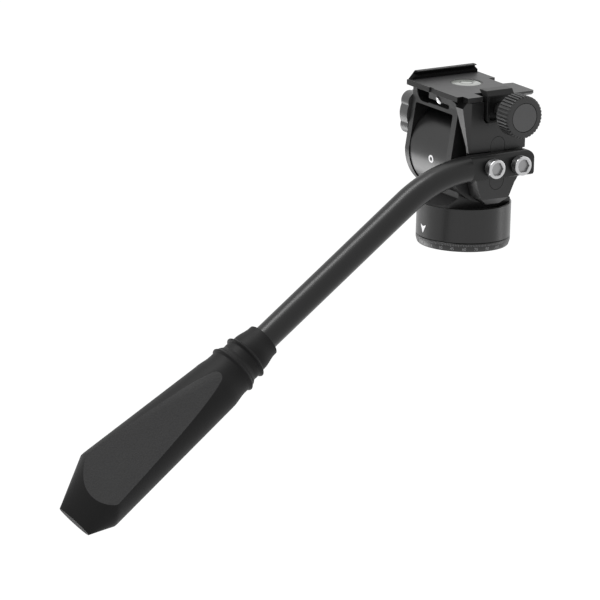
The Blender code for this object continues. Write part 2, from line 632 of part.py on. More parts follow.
def bracket_mesh():
    """Cheeks, bridge and slab of the tilt bracket with all their holes."""
    left = prism(cheek_outline(), LEFT_CHEEK_OUTER, LEFT_CHEEK_INNER, "X")
    right = prism(cheek_outline(), RIGHT_CHEEK_INNER, RIGHT_CHEEK_OUTER, "X")
    depth = CHEEK_TOP_HALF_DEPTH
    left_side = LEFT_CHEEK_INNER - OVERRUN
    right_side = RIGHT_CHEEK_INNER + OVERRUN
    bridge = block(left_side, right_side, -depth, depth, BRIDGE_BOTTOM, BRIDGE_TOP)
    corner = (SLAB_LEFT + SLAB_CORNER_RADIUS, -depth + SLAB_CORNER_RADIUS)
    slab_outline = [(right_side, -depth), (right_side, depth), (SLAB_LEFT, depth)]
    slab_outline += arc(corner, SLAB_CORNER_RADIUS, math.pi, math.pi * 1.5, SMALL_STEPS // 4)
    slab = prism(slab_outline, BRIDGE_TOP - GAP, BRACKET_TOP, "Z")
    whole = join(left, right, bridge, slab)
    slot_end = SLOT_RIGHT - SLOT_HALF_HEIGHT
    slot_start = SLAB_LEFT - OVERRUN
    slot_outline = [(slot_start, SLOT_HEIGHT + SLOT_HALF_HEIGHT), (slot_start, SLOT_HEIGHT - SLOT_HALF_HEIGHT)]
    slot_outline += arc((slot_end, SLOT_HEIGHT), SLOT_HALF_HEIGHT, -math.pi / 2, math.pi / 2, SMALL_STEPS // 2)
    cuts = [prism(slot_outline, -depth - OVERRUN, -depth + SLOT_DEPTH, "Y"), stop_pin(GAP)]
    corner_top = PLATFORM_TOP - BRACKET_CORNER_DROP
    corner_centre = (RIGHT_CHEEK_OUTER - BRACKET_CORNER_RADIUS, corner_top - BRACKET_CORNER_RADIUS)
    round_edge = arc(corner_centre, BRACKET_CORNER_RADIUS, 0, math.pi / 2, SMALL_STEPS // 2)
    beyond = RIGHT_CHEEK_OUTER + OVERRUN
    above = BRACKET_TOP + OVERRUN
    corner_outline = round_edge + [(corner_centre[0], above), (beyond, above), (beyond, corner_centre[1])]
    cuts.append(prism(corner_outline, -depth - OVERRUN, depth + OVERRUN, "Y"))
    cuts.append(rod(CLAMP_SCREW_RADIUS + GAP, SCREW_BORE_END, beyond, (0, KNOB_Y, KNOB_HEIGHT), "X"))
    for y in (GUIDE_PIN_REAR_Y, GUIDE_PIN_FRONT_Y):
        cuts.append(rod(GUIDE_PIN_RADIUS + GAP, PIN_BORE_END, beyond, (0, y, GUIDE_PIN_HEIGHT), "X"))
    hole = TILT_AXLE_RADIUS + GAP
    cuts.append(rod(hole, LEFT_CHEEK_OUTER - OVERRUN, RIGHT_CHEEK_OUTER + OVERRUN, TILT_CENTRE, "X", MEDIUM_STEPS))
    lock_centre = (0, TILT_LOCK_Y, TILT_LOCK_HEIGHT)
    cuts.append(rod(TILT_LOCK_STUD_RADIUS + GAP, LEFT_CHEEK_OUTER - OVERRUN, LEFT_CHEEK_INNER + OVERRUN,
                    lock_centre, "X"))
    for side in (-1, 1):
        place = (PLATFORM_SCREW_X, side * PLATFORM_SCREW_HALF_SPACING, 0)
        head_top = BRIDGE_BOTTOM + GAP + PLATFORM_SCREW_HEAD_HEIGHT + GAP
        head = PLATFORM_SCREW_HEAD_RADIUS + GAP
        shank = PLATFORM_SCREW_RADIUS + GAP
        cuts.append(turned([(0, BRIDGE_BOTTOM - OVERRUN), (head, BRIDGE_BOTTOM - OVERRUN), (head, head_top),
                            (shank, head_top), (shank, BRACKET_TOP + OVERRUN), (0, BRACKET_TOP + OVERRUN)],
                           place, steps=SMALL_STEPS))
    return cut(whole, *cuts)


def bracket_pieces(tilt, paint, steel, bronze):
    """Bracket with its axle, clip, damper rotor, stop pin and platform screws."""
    tilt.add("tilt_bracket", bracket_mesh(), paint)
    axle_left = LEFT_CHEEK_OUTER - GAP - AXLE_CLIP_THICKNESS
    axle_right = PLATE_SLAB_INNER
    axle = rod(TILT_AXLE_RADIUS, axle_left, axle_right, TILT_CENTRE, "X", MEDIUM_STEPS)
    tilt.add("tilt_axle", axle, steel)
    clip = ring(TILT_AXLE_RADIUS + GAP, AXLE_CLIP_RADIUS, axle_left, LEFT_CHEEK_OUTER - GAP,
                TILT_CENTRE, "X", SMALL_STEPS)
    tilt.add("tilt_axle_clip", clip, steel)
    half = TILT_ROTOR_THICKNESS / 2
    rotor = ring(TILT_AXLE_RADIUS + GAP, TILT_ROTOR_RADIUS, TILT_ROTOR_CENTRE_X - half,
                 TILT_ROTOR_CENTRE_X + half, TILT_CENTRE, "X")
    tilt.add("tilt_damper_rotor", rotor, bronze)
    tilt.add("clamp_stop_pin", stop_pin(0), steel)
    head_bottom = BRIDGE_BOTTOM + GAP
    head_top = head_bottom + PLATFORM_SCREW_HEAD_HEIGHT
    end = PLATFORM_BOTTOM + PLATFORM_SCREW_BITE
    for number, side in enumerate((-1, 1), 1):
        place = (PLATFORM_SCREW_X, side * PLATFORM_SCREW_HALF_SPACING, 0)
        screw = turned([(0, head_bottom), (PLATFORM_SCREW_HEAD_RADIUS, head_bottom),
                        (PLATFORM_SCREW_HEAD_RADIUS, head_top), (PLATFORM_SCREW_RADIUS, head_top),
                        (PLATFORM_SCREW_RADIUS, end), (0, end)], place, steps=SMALL_STEPS)
        tilt.add(f"platform_screw_{number}", screw, steel)


def platform_mesh():
    """Top plate with notches, jaw slot, level pocket and the fixed dovetail rail."""
    notch_right = FRONT_NOTCH_LEFT + FRONT_NOTCH_WIDTH
    rear_right = REAR_NOTCH_LEFT + REAR_NOTCH_WIDTH
    outline = [(PLATFORM_LEFT, PLATFORM_REAR), (REAR_NOTCH_LEFT, PLATFORM_REAR),
               (REAR_NOTCH_LEFT, PLATFORM_REAR + REAR_NOTCH_DEPTH), (rear_right, PLATFORM_REAR + REAR_NOTCH_DEPTH),
               (rear_right, PLATFORM_REAR), (CORNER_NOTCH_X, PLATFORM_REAR), (CORNER_NOTCH_X, CORNER_NOTCH_Y),
               (PLATFORM_RIGHT, CORNER_NOTCH_Y),
               (PLATFORM_RIGHT, JAW_SLOT_REAR), (JAW_SLOT_INNER, JAW_SLOT_REAR),
               (JAW_SLOT_INNER, JAW_SLOT_FRONT), (PLATFORM_RIGHT, JAW_SLOT_FRONT),
               (PLATFORM_RIGHT, PLATFORM_FRONT), (notch_right, PLATFORM_FRONT),
               (notch_right - REAR_NOTCH_DEPTH, PLATFORM_FRONT - FRONT_NOTCH_DEPTH),
               (FRONT_NOTCH_LEFT, PLATFORM_FRONT - FRONT_NOTCH_DEPTH),
               (FRONT_NOTCH_LEFT, PLATFORM_FRONT_LEFT), (PLATFORM_LEFT, PLATFORM_FRONT_LEFT)]
    plate = prism(outline, PLATFORM_BOTTOM, PLATFORM_TOP, "Z")
    lip_bottom = RAIL_TOP - RAIL_LIP_THICKNESS
    foot = PLATFORM_TOP - GAP
    rail = prism([(PLATFORM_LEFT, foot), (RAIL_LIP_X, foot), (RAIL_LIP_X, PLATFORM_TOP),
                  (RAIL_WALL_X, PLATFORM_TOP + RAIL_LIP_THICKNESS), (RAIL_WALL_X, lip_bottom - RAIL_LIP_THICKNESS),
                  (RAIL_LIP_X, lip_bottom), (RAIL_LIP_X, RAIL_TOP), (PLATFORM_LEFT, RAIL_TOP)],
                 RAIL_REAR - RAIL_REAR_SLOPE, RAIL_FRONT + RAIL_FRONT_SLOPE, "Y")
    slope_height = RAIL_TOP - PLATFORM_TOP
    slice_off(rail, (0, RAIL_REAR, RAIL_TOP), (0, -slope_height, RAIL_REAR_SLOPE))
    slice_off(rail, (0, RAIL_FRONT, RAIL_TOP), (0, slope_height, RAIL_FRONT_SLOPE))
    pocket_bottom = PLATFORM_TOP - LEVEL_CUP_HEIGHT - GAP
    cuts = [rod(LEVEL_RADIUS + GAP, pocket_bottom, PLATFORM_TOP + OVERRUN, (LEVEL_CENTRE_X, 0, 0), steps=MEDIUM_STEPS)]
    for side in (-1, 1):
        place = (PLATFORM_SCREW_X, side * PLATFORM_SCREW_HALF_SPACING, 0)
        cuts.append(rod(PLATFORM_SCREW_RADIUS + GAP, PLATFORM_BOTTOM - OVERRUN,
                        PLATFORM_BOTTOM + PLATFORM_SCREW_BITE + GAP, place))
    return cut(join(plate, rail), *cuts)


def platform_pieces(tilt, paint, dark_plastic, glass):
    """Platform and spirit level."""
    tilt.add("platform", platform_mesh(), paint)
    cup_bottom = PLATFORM_TOP - LEVEL_CUP_HEIGHT
    inner = LEVEL_RADIUS - LEVEL_WALL
    floor = cup_bottom + LEVEL_FLOOR
    centre = (LEVEL_CENTRE_X, 0, 0)
    cup = turned([(0, cup_bottom), (LEVEL_RADIUS, cup_bottom), (LEVEL_RADIUS, PLATFORM_TOP),
                  (inner, PLATFORM_TOP), (inner, floor), (0, floor)], centre, steps=MEDIUM_STEPS)
    tilt.add("level_cup", cup, dark_plastic)
    vial = rod(inner - GAP, floor + GAP, PLATFORM_TOP - LEVEL_GLASS_SINK, centre, steps=MEDIUM_STEPS)
    tilt.add("level_vial", vial, glass)


def plate_outline():
    """Outer arm-mount plate seen along X, from its rear top corner round to the front."""
    return [(PLATE_POCKET_REAR, BRACKET_TOP), (PLATE_REAR_TOP, PLATFORM_TOP - PLATE_REAR_TOP_DROP),
            (PLATE_REAR, PLATE_STEP_HEIGHT), (-LOBE_SHOULDER_HALF, LOBE_SHOULDER_HEIGHT),
            (-LOBE_FLANK_HALF, LOBE_FLANK_HEIGHT), (-LOBE_FOOT_HALF, LOBE_FOOT_HEIGHT),
            (-LOBE_BOTTOM_HALF, LOBE_BOTTOM), (LOBE_BOTTOM_HALF, LOBE_BOTTOM),
            (LOBE_FOOT_HALF, LOBE_FOOT_HEIGHT), (LOBE_FLANK_HALF, LOBE_FLANK_HEIGHT),
            (LOBE_SHOULDER_HALF, LOBE_SHOULDER_HEIGHT), (PLATE_FRONT, PLATE_STEP_HEIGHT),
            (PLATE_FRONT, BRACKET_TOP)]


def stadium(half_width, half_length, low, high):
    """Upright stadium shape along X, centred on the arm's seat."""
    reach = half_length - half_width
    outline = arc((ARM_CENTRE_Y, TILT_HEIGHT + reach), half_width, 0, math.pi, SMALL_STEPS // 2)
    outline += arc((ARM_CENTRE_Y, TILT_HEIGHT - reach), half_width, math.pi, math.tau, SMALL_STEPS // 2)
    return prism(outline, low, high, "X")


def jaw_outline(clearance, top):
    """Jaw seen along X with rounded lower corners, grown by a clearance."""
    radius = JAW_CORNER_RADIUS + clearance
    centre_z = JAW_BOTTOM + JAW_CORNER_RADIUS
    steps = SMALL_STEPS // 4
    outline = [(JAW_FRONT + clearance, top), (JAW_REAR - clearance, top)]
    outline += arc((JAW_REAR + JAW_CORNER_RADIUS, centre_z), radius, math.pi, math.pi * 1.5, steps)
    outline += arc((JAW_FRONT - JAW_CORNER_RADIUS, centre_z), radius, -math.pi / 2, 0, steps)
    return outline


def plate_mesh():
    """Arm-mount plate with its pad, arm channel, jaw pocket, inlay pocket and bolt holes."""
    slab = prism(plate_outline(), PLATE_SLAB_INNER, PLATE_OUTER, "X")
    chamfer_normal = (math.sin(PLATE_CHAMFER_TURN), -math.cos(PLATE_CHAMFER_TURN), 0)
    slice_off(slab, (PLATE_OUTER, PLATE_CHAMFER_REAR, 0), chamfer_normal)
    slice_off(slab, (PLATE_OUTER, 0, LOBE_BOTTOM + LOBE_CHAMFER), (1, 0, -1))
    wedge_top = PLATFORM_TOP - PLATE_REAR_TOP_DROP
    beyond = PLATE_SLAB_INNER - OVERRUN
    wedge_outline = [(beyond, wedge_top), (PLATE_SLAB_INNER, wedge_top), (PLATE_WEDGE_X, PLATE_WEDGE_LOW),
                     (PLATE_WEDGE_X, PLATE_WEDGE_FOOT), (beyond, PLATE_WEDGE_FOOT)]
    wedge = prism(wedge_outline, PLATE_REAR_TOP - OVERRUN, -PAD_HALF_DEPTH - GAP, "Y")
    slab = cut(slab, wedge)
    pad = block(PLATE_INNER, PLATE_SLAB_INNER + GAP, -PAD_HALF_DEPTH, PAD_HALF_DEPTH, PAD_BOTTOM, BRACKET_TOP)
    whole = join(slab, pad)
    channel = block(PLATE_OUTER - CHANNEL_DEPTH, PLATE_OUTER + OVERRUN, PLATE_REAR_TOP - OVERRUN,
                    PLATE_FRONT + OVERRUN, CHANNEL_BOTTOM, CHANNEL_TOP)
    jaw_pocket = prism(jaw_outline(JAW_POCKET_CLEARANCE, BRACKET_TOP + OVERRUN), JAW_POCKET_FLOOR, PLATE_OUTER + OVERRUN, "X")
    inlay_left = PLATE_OUTER - INLAY_DEPTH - GAP
    cuts = [channel, jaw_pocket]
    inlay_pocket = stadium(INLAY_HALF_WIDTH + GAP, INLAY_HALF_LENGTH + GAP, inlay_left, PLATE_OUTER + OVERRUN)
    cuts.append(inlay_pocket)
    cuts.append(rod(TILT_AXLE_RADIUS + GAP, PLATE_INNER - OVERRUN, PLATE_SLAB_INNER + GAP, TILT_CENTRE, "X",
                    MEDIUM_STEPS))
    for side in (-1, 1):
        place = (0, ARM_CENTRE_Y + side * BOLT_HALF_SPACING, TILT_HEIGHT)
        cuts.append(rod(BOLT_RADIUS + GAP, BOLT_INNER_END - GAP, PLATE_OUTER + OVERRUN, place, "X"))
    screw_place = (0, KNOB_Y, KNOB_HEIGHT)
    cuts.append(rod(CLAMP_SCREW_RADIUS + GAP, SCREW_BORE_END, PLATE_OUTER, screw_place, "X"))
    for y in (GUIDE_PIN_REAR_Y, GUIDE_PIN_FRONT_Y):
        pin = GUIDE_PIN_RADIUS + GAP
        spring = SPRING_RADIUS + GAP
        seat = SPRING_INNER_END - GAP
        cuts.append(turned([(0, PIN_BORE_END), (pin, PIN_BORE_END), (pin, seat),
                            (spring, seat), (spring, PLATE_OUTER), (0, PLATE_OUTER)],
                           (0, y, GUIDE_PIN_HEIGHT), "X", SMALL_STEPS))
    return cut(whole, *cuts)


def plate_pieces(tilt, paint, steel):
    """Arm-mount plate, its inlay and the jaw's springs."""
    tilt.add("arm_mount_plate", plate_mesh(), paint)
    inlay = stadium(INLAY_HALF_WIDTH, INLAY_HALF_LENGTH, PLATE_OUTER - INLAY_DEPTH, PLATE_OUTER)
    tilt.add("arm_mount_inlay", inlay, paint)
    spring_end = JAW_POCKET_FLOOR - GAP
    for name, y in (("rear", GUIDE_PIN_REAR_Y), ("front", GUIDE_PIN_FRONT_Y)):
        spring = ring(GUIDE_PIN_RADIUS + GAP, SPRING_RADIUS, SPRING_INNER_END, spring_end,
                      (0, y, GUIDE_PIN_HEIGHT), "X", SMALL_STEPS)
        tilt.add(f"jaw_spring_{name}", spring, steel)


def jaw_mesh():
    """Movable jaw: upright plate with a recessed outer face and an undercut lip."""
    undercut = JAW_TOP - JAW_LIP_THICKNESS
    profile = [(JAW_INNER, JAW_BOTTOM), (JAW_OUTER, JAW_BOTTOM), (JAW_OUTER, JAW_SHOULDER_HEIGHT),
               (JAW_TOP_OUTER, JAW_TOP), (JAW_LIP_X, JAW_TOP), (JAW_LIP_X, undercut),
               (JAW_INNER, JAW_SHOULDER_HEIGHT)]
    body = prism(profile, JAW_REAR, JAW_FRONT, "Y")
    side_view = prism(jaw_outline(0, JAW_TOP + OVERRUN), JAW_LIP_X - OVERRUN, JAW_OUTER + OVERRUN, "X")
    body = combine(body, "INTERSECT", side_view)
    rim = JAW_RECESS_RIM
    recess = block(JAW_OUTER - JAW_RECESS_DEPTH, JAW_OUTER + OVERRUN, JAW_REAR + rim, JAW_FRONT - rim,
                   JAW_BOTTOM + rim, JAW_SHOULDER_HEIGHT - rim)
    place = (0, KNOB_Y, KNOB_HEIGHT)
    cuts = [recess, rod(CLAMP_SCREW_RADIUS + GAP, JAW_INNER - OVERRUN, JAW_OUTER + OVERRUN, place, "X")]
    for y in (GUIDE_PIN_REAR_Y, GUIDE_PIN_FRONT_Y):
        cuts.append(rod(GUIDE_PIN_RADIUS + GAP, JAW_INNER - OVERRUN, JAW_INNER + GUIDE_PIN_BITE + GAP,
                        (0, y, GUIDE_PIN_HEIGHT), "X"))
    return cut(body, *cuts)


def jaw_pieces(jaw, paint, steel):
    """Jaw and its two guide pins."""
    jaw.add("movable_jaw", jaw_mesh(), paint)
    for name, y in (("rear", GUIDE_PIN_REAR_Y), ("front", GUIDE_PIN_FRONT_Y)):
        pin = rod(GUIDE_PIN_RADIUS, GUIDE_PIN_INNER_END, JAW_INNER + GUIDE_PIN_BITE, (0, y, GUIDE_PIN_HEIGHT), "X")
        jaw.add(f"guide_pin_{name}", pin, steel)


def clamp_knob_pieces(knob, plastic, steel):
    """Ribbed clamp knob with neck, its face cap and the clamp screw."""
    place = Matrix.Translation((0, KNOB_Y, KNOB_HEIGHT)) @ along("X")
    disc = ribbed_disc(KNOB_RADIUS, KNOB_RIB_DEPTH, KNOB_RIB_COUNT, KNOB_INNER, KNOB_FACE)
    neck_start = JAW_OUTER - JAW_RECESS_DEPTH + GAP
    neck = rod(KNOB_NECK_RADIUS, neck_start, KNOB_INNER + OVERRUN)
    limit = turned([(0, neck_start - OVERRUN), (KNOB_RADIUS + OVERRUN, neck_start - OVERRUN),
                    (KNOB_RADIUS + OVERRUN, KNOB_FACE - KNOB_EDGE - OVERRUN), (KNOB_RADIUS - KNOB_EDGE, KNOB_FACE),
                    (0, KNOB_FACE)])
    seat_bottom = KNOB_FACE - KNOB_CAP_THICKNESS - GAP
    cap_seat = rod(KNOB_CAP_RADIUS + GAP, seat_bottom, KNOB_FACE + OVERRUN, steps=MEDIUM_STEPS)
    screw_end = KNOB_INNER + KNOB_BORE_DEPTH
    bore = rod(CLAMP_SCREW_RADIUS + GAP, neck_start - OVERRUN, screw_end + GAP)
    body = combine(join(disc, neck), "INTERSECT", limit)
    body = cut(body, cap_seat, bore)
    body.transform(place)
    knob.add("clamp_knob", body, plastic)
    cap = rod(KNOB_CAP_RADIUS, seat_bottom + GAP, KNOB_FACE, steps=MEDIUM_STEPS)
    cap.transform(place)
    knob.add("clamp_knob_cap", cap, plastic)
    screw = rod(CLAMP_SCREW_RADIUS, CLAMP_SCREW_INNER_END, screw_end)
    screw.transform(place)
    knob.add("clamp_screw", screw, steel)


def tilt_lock_pieces(lock, plastic, steel):
    """Four-lobed knob on the left cheek with its stud, which bears on the drum's end."""
    outer = TILT_LOCK_FACE - TILT_LOCK_WIDTH
    centre = (0, TILT_LOCK_Y, TILT_LOCK_HEIGHT)
    steps = MEDIUM_STEPS
    body = rod(TILT_LOCK_WAIST_RADIUS, outer, TILT_LOCK_FACE, centre, "X", steps)
    lobes = []
    for index in range(TILT_LOCK_LOBES):
        turn = math.tau * (index + 0.5) / TILT_LOCK_LOBES
        place = (0, TILT_LOCK_Y + TILT_LOCK_LOBE_CIRCLE * math.cos(turn),
                 TILT_LOCK_HEIGHT + TILT_LOCK_LOBE_CIRCLE * math.sin(turn))
        lobes.append(rod(TILT_LOCK_LOBE_RADIUS, outer, TILT_LOCK_FACE, place, "X"))
    stud_end = (outer + TILT_LOCK_FACE) / 2
    bore = rod(TILT_LOCK_STUD_RADIUS + GAP, stud_end - GAP, LEFT_CHEEK_OUTER + OVERRUN, centre, "X")
    lock.add("tilt_lock_knob", cut(join(body, *lobes), bore), plastic)
    stud = rod(TILT_LOCK_STUD_RADIUS, stud_end, LEFT_CHEEK_INNER, centre, "X")
    lock.add("tilt_lock_stud", stud, steel)


def handle_path():
    """Centre line of the handle bar from the arm's front end to its end in the grip."""
    tangent = HANDLE_BEND_RADIUS * math.tan(HANDLE_DROP / 2)
    centre = HANDLE_CORNER + Vector((0, tangent, -HANDLE_BEND_RADIUS))
    points = [Vector((ARM_CENTRE_X, ARM_FRONT, TILT_HEIGHT))]
    for step in range(BEND_STEPS + 1):
        turn = HANDLE_DROP * step / BEND_STEPS
        points.append(centre + HANDLE_BEND_RADIUS * Vector((0, -math.sin(turn), math.cos(turn))))
    points.append(COLLAR_END + HANDLE_AXIS * TUBE_IN_GRIP)
    return points


def arm_side_outline(low, high, reach):
    """What the flattened end's outer side leaves off, seen along Y: a flat with rounded edges."""
    top_z = TILT_HEIGHT + TUBE_RADIUS - ARM_TOP_ROUND_Z
    low_z = TILT_HEIGHT - TUBE_RADIUS + ARM_LOW_ROUND
    steps = SMALL_STEPS // 4
    top_round = []
    for step in range(steps + 1):
        turn = math.pi / 2 * step / steps
        top_round.append((ARM_OUTER - ARM_TOP_ROUND_X * (1 - math.cos(turn)), top_z + ARM_TOP_ROUND_Z * math.sin(turn)))
    low_round = arc((ARM_OUTER - ARM_LOW_ROUND, low_z), ARM_LOW_ROUND, -math.pi / 2, 0, steps)
    return [(low_round[0][0], low)] + low_round + top_round + [(top_round[-1][0], high), (ARM_OUTER + reach, high),
                                                               (ARM_OUTER + reach, low)]


def handle_tube_mesh():
    """Round bar swept along the path, pressed flat at the arm's end and drilled."""
    points = handle_path()
    mesh = bmesh.new()
    loops = []
    for index, point in enumerate(points):
        before = points[max(index - 1, 0)]
        after = points[min(index + 1, len(points) - 1)]
        heading = (after - before).normalized()
        side = Vector((1, 0, 0))
        upward = heading.cross(side)
        loop = []
        for step in range(MEDIUM_STEPS):
            turn = math.tau * (step + 0.5) / MEDIUM_STEPS
            loop.append(mesh.verts.new(point + TUBE_RADIUS * (side * math.cos(turn) + upward * math.sin(turn))))
        loops.append(loop)
    edges = []
    for loop in loops:
        edges += [mesh.edges.new((a, b)) for a, b in zip(loop, loop[1:] + loop[:1])]
    bmesh.ops.bridge_loops(mesh, edges=edges)
    mesh.faces.new(loops[0])
    mesh.faces.new(loops[-1][::-1])
    bmesh.ops.recalc_face_normals(mesh, faces=mesh.faces)
    reach = TUBE_RADIUS + OVERRUN
    low = TILT_HEIGHT - reach
    high = TILT_HEIGHT + reach
    cuts = [prism(arm_side_outline(low, high, reach), ARM_FLAT_REAR, ARM_FRONT + OVERRUN, "Y"),
            block(ARM_INNER - reach, ARM_INNER, ARM_FLAT_REAR, ARM_FRONT + OVERRUN, low, high)]
    for side, corner in ((-1, ARM_LOW_CORNER), (1, ARM_TOP_CORNER)):
        place = (0, ARM_CENTRE_Y + side * BOLT_HALF_SPACING, TILT_HEIGHT)
        cuts.append(rod(BOLT_RADIUS + GAP, ARM_INNER - OVERRUN, ARM_OUTER + OVERRUN, place, "X"))
        corner_z = TILT_HEIGHT + side * (TUBE_RADIUS - corner)
        corner_y = ARM_FRONT - corner
        quarter = arc((corner_y, corner_z), corner, 0, side * math.pi / 2, SMALL_STEPS // 2)
        far = ARM_FRONT + OVERRUN
        high_z = TILT_HEIGHT + side * reach
        outline = quarter + [(corner_y, high_z), (far, high_z), (far, corner_z)]
        cuts.append(prism(outline, ARM_INNER - reach, ARM_OUTER + reach, "X"))
    return cut(mesh, *cuts)


def bolt_mesh(place):
    """Socket-head screw along X with a hexagonal recess."""
    head_inner = ARM_OUTER + GAP + BOLT_WASHER_THICKNESS + GAP
    face = head_inner + BOLT_HEAD_HEIGHT
    body = turned([(0, BOLT_INNER_END), (BOLT_RADIUS, BOLT_INNER_END), (BOLT_RADIUS, head_inner),
                   (BOLT_HEAD_RADIUS, head_inner), (BOLT_HEAD_RADIUS, face - BOLT_HEAD_EDGE),
                   (BOLT_HEAD_RADIUS - BOLT_HEAD_EDGE, face), (0, face)], place, "X", MEDIUM_STEPS)
    corner = BOLT_SOCKET_FLATS / math.sqrt(3)
    socket = rod(corner, face - BOLT_SOCKET_DEPTH, face + OVERRUN, place, "X", 6)
    return cut(body, socket)


def radial_limit(cross, long_half, short_half):
    """Distance from an ellipse's centre to its edge in a given direction."""
    return 1 / math.hypot(cross[0] / short_half, cross[1] / long_half)


def grip_radius(turn, place, radius, offset):
    """Grip's reach in one direction: an off-centre circle, held inside the end taper."""
    cross = (math.cos(turn), math.sin(turn))
    toward = offset * cross[1]
    circle = toward + math.sqrt(toward * toward - offset * offset + radius * radius)
    left = GRIP_LENGTH - place
    width = GRIP_END_HALF_WIDTH + GRIP_END_WIDTH_SLOPE * left
    depth = GRIP_END_HALF_DEPTH + GRIP_END_DEPTH_SLOPE * left
    return min(circle, radial_limit(cross, width, depth))


def grip_rings():
    """(place, radius, offset) of each ring from the collar to the end."""
    valley = (RIDGE_1_PLACE + RIDGE_2_PLACE) / 2
    rings = [(0, COLLAR_RADIUS, 0), (COLLAR_LENGTH, COLLAR_FLARE_RADIUS, 0),
             (RIDGE_1_PLACE - RIDGE_HALF_WIDTH, COLLAR_FLARE_RADIUS, 0), (RIDGE_1_PLACE, RIDGE_1_RADIUS, 0),
             (RIDGE_1_PLACE + RIDGE_HALF_WIDTH, VALLEY_RADIUS, 0), (valley, VALLEY_RADIUS, 0),
             (RIDGE_2_PLACE - RIDGE_HALF_WIDTH, BODY_START_RADIUS, 0), (RIDGE_2_PLACE, RIDGE_2_RADIUS, 0),
             (RIDGE_2_PLACE + RIDGE_HALF_WIDTH, BODY_START_RADIUS, 0), (BODY_START, BODY_START_RADIUS, 0),
             (SWELL_PLACE, SWELL_RADIUS, 0)]
    for step in range(1, GRIP_BODY_RINGS + 1):
        share = step / GRIP_BODY_RINGS
        place = SWELL_PLACE + (GRIP_LENGTH - SWELL_PLACE) * share
        swell = (place - SWELL_PLACE) / (BODY_WIDEST - SWELL_PLACE)
        radius = SWELL_RADIUS + (BODY_WIDEST_RADIUS - SWELL_RADIUS) * swell
        rings.append((place, radius, BODY_WIDEST_OFFSET * swell))
    return rings


def grip_mesh():
    """Soft grip: collar, two ridges, swelling body with two flats, tapered end, bore."""
    mesh = bmesh.new()
    loops = []
    for place, radius, offset in grip_rings():
        centre = COLLAR_END + HANDLE_AXIS * place
        loop = []
        for step in range(GRIP_STEPS):
            turn = math.tau * step / GRIP_STEPS
            reach = grip_radius(turn, place, radius, offset)
            spoke = GRIP_FLAT_NORMAL * math.cos(turn) + GRIP_WIDE_DIRECTION * math.sin(turn)
            loop.append(mesh.verts.new(centre + spoke * reach))
        loops.append(loop)
    edges = []
    for loop in loops:
        edges += [mesh.edges.new((a, b)) for a, b in zip(loop, loop[1:] + loop[:1])]
    bmesh.ops.bridge_loops(mesh, edges=edges)
    mesh.faces.new(loops[0])
    mesh.faces.new(loops[-1][::-1])
    bmesh.ops.recalc_face_normals(mesh, faces=mesh.faces)
    start = COLLAR_END + HANDLE_AXIS * FLAT_START_PLACE
    for side in (-1, 1):
        normal = GRIP_FLAT_NORMAL * side - HANDLE_AXIS * FLAT_SLOPE
        slice_off(mesh, start + GRIP_FLAT_NORMAL * side * FLAT_START_DISTANCE, normal)
    bore = rod(TUBE_RADIUS + GAP, -OVERRUN, TUBE_IN_GRIP + GRIP_BORE_FLOOR, steps=MEDIUM_STEPS)
    turn = HANDLE_AXIS.to_track_quat("Z", "Y").to_matrix().to_4x4()
    bore.transform(Matrix.Translation(COLLAR_END) @ turn)
    return cut(mesh, bore)


def handle_pieces(tilt, paint, polished, rubber):
    """Handle bar, its bolts and washers, and the grip."""
    tilt.add("handle_tube", handle_tube_mesh(), paint)
    washer_inner = ARM_OUTER + GAP
    for name, side in (("rear", -1), ("front", 1)):
        place = (0, ARM_CENTRE_Y + side * BOLT_HALF_SPACING, TILT_HEIGHT)
        washer = ring(BOLT_RADIUS + GAP, BOLT_WASHER_RADIUS, washer_inner, washer_inner + BOLT_WASHER_THICKNESS,
                      place, "X")
        tilt.add(f"handle_washer_{name}", washer, polished)
        tilt.add(f"handle_bolt_{name}", bolt_mesh(place), polished)
    tilt.add("handle_grip", grip_mesh(), rubber)


def main():
    """Build every group of pieces."""
    clear_scene()
    paint = finish("black_anodised", (0.035, 0.035, 0.036), 0.42, 0.6)
    tube_paint = finish("black_gloss_paint", (0.030, 0.030, 0.031), 0.28, 0.5)
    steel = finish("plain_steel", (0.42, 0.42, 0.43), 0.35, 1.0)
    polished = finish("polished_steel", (0.72, 0.72, 0.72), 0.18, 1.0)
    bronze = finish("bearing_bronze", (0.45, 0.30, 0.14), 0.40, 1.0)
    rubber = finish("soft_grip", (0.018, 0.018, 0.018), 0.62, 0.0)
    plastic = finish("black_plastic", (0.040, 0.040, 0.041), 0.45, 0.0)
    nylon = finish("white_nylon", (0.75, 0.74, 0.70), 0.50, 0.0)
    glass = finish("level_glass", (0.42, 0.46, 0.42), 0.12, 0.0)

    base = Carrier("base_group", (0, 0, 0))
    pan = Carrier("pan_group", (0, 0, 0), base)
    lock_origin = PAN_LOCK_DIRECTION * BASE_RADIUS + Vector((0, 0, PAN_LOCK_HEIGHT))
    pan_lock = Carrier("pan_lock_group", lock_origin, pan)
    tilt = Carrier("tilt_group", TILT_CENTRE, pan)
    jaw = Carrier("jaw_group", (JAW_INNER, KNOB_Y, KNOB_HEIGHT), tilt)
    knob = Carrier("clamp_knob_group", (KNOB_INNER, KNOB_Y, KNOB_HEIGHT), jaw)
    tilt_lock = Carrier("tilt_lock_group", (LEFT_CHEEK_OUTER, TILT_LOCK_Y, TILT_LOCK_HEIGHT), tilt)

    base_pieces(base, paint, steel, nylon)
    pan_pieces(pan, paint, steel, bronze)
    pan_lock_pieces(pan_lock, plastic, steel)
    bracket_pieces(tilt, paint, steel, bronze)
    platform_pieces(tilt, paint, plastic, glass)
    plate_pieces(tilt, paint, steel)
    jaw_pieces(jaw, paint, steel)
    clamp_knob_pieces(knob, plastic, steel)
    tilt_lock_pieces(tilt_lock, plastic, steel)
    handle_pieces(tilt, tube_paint, polished, rubber)


main()
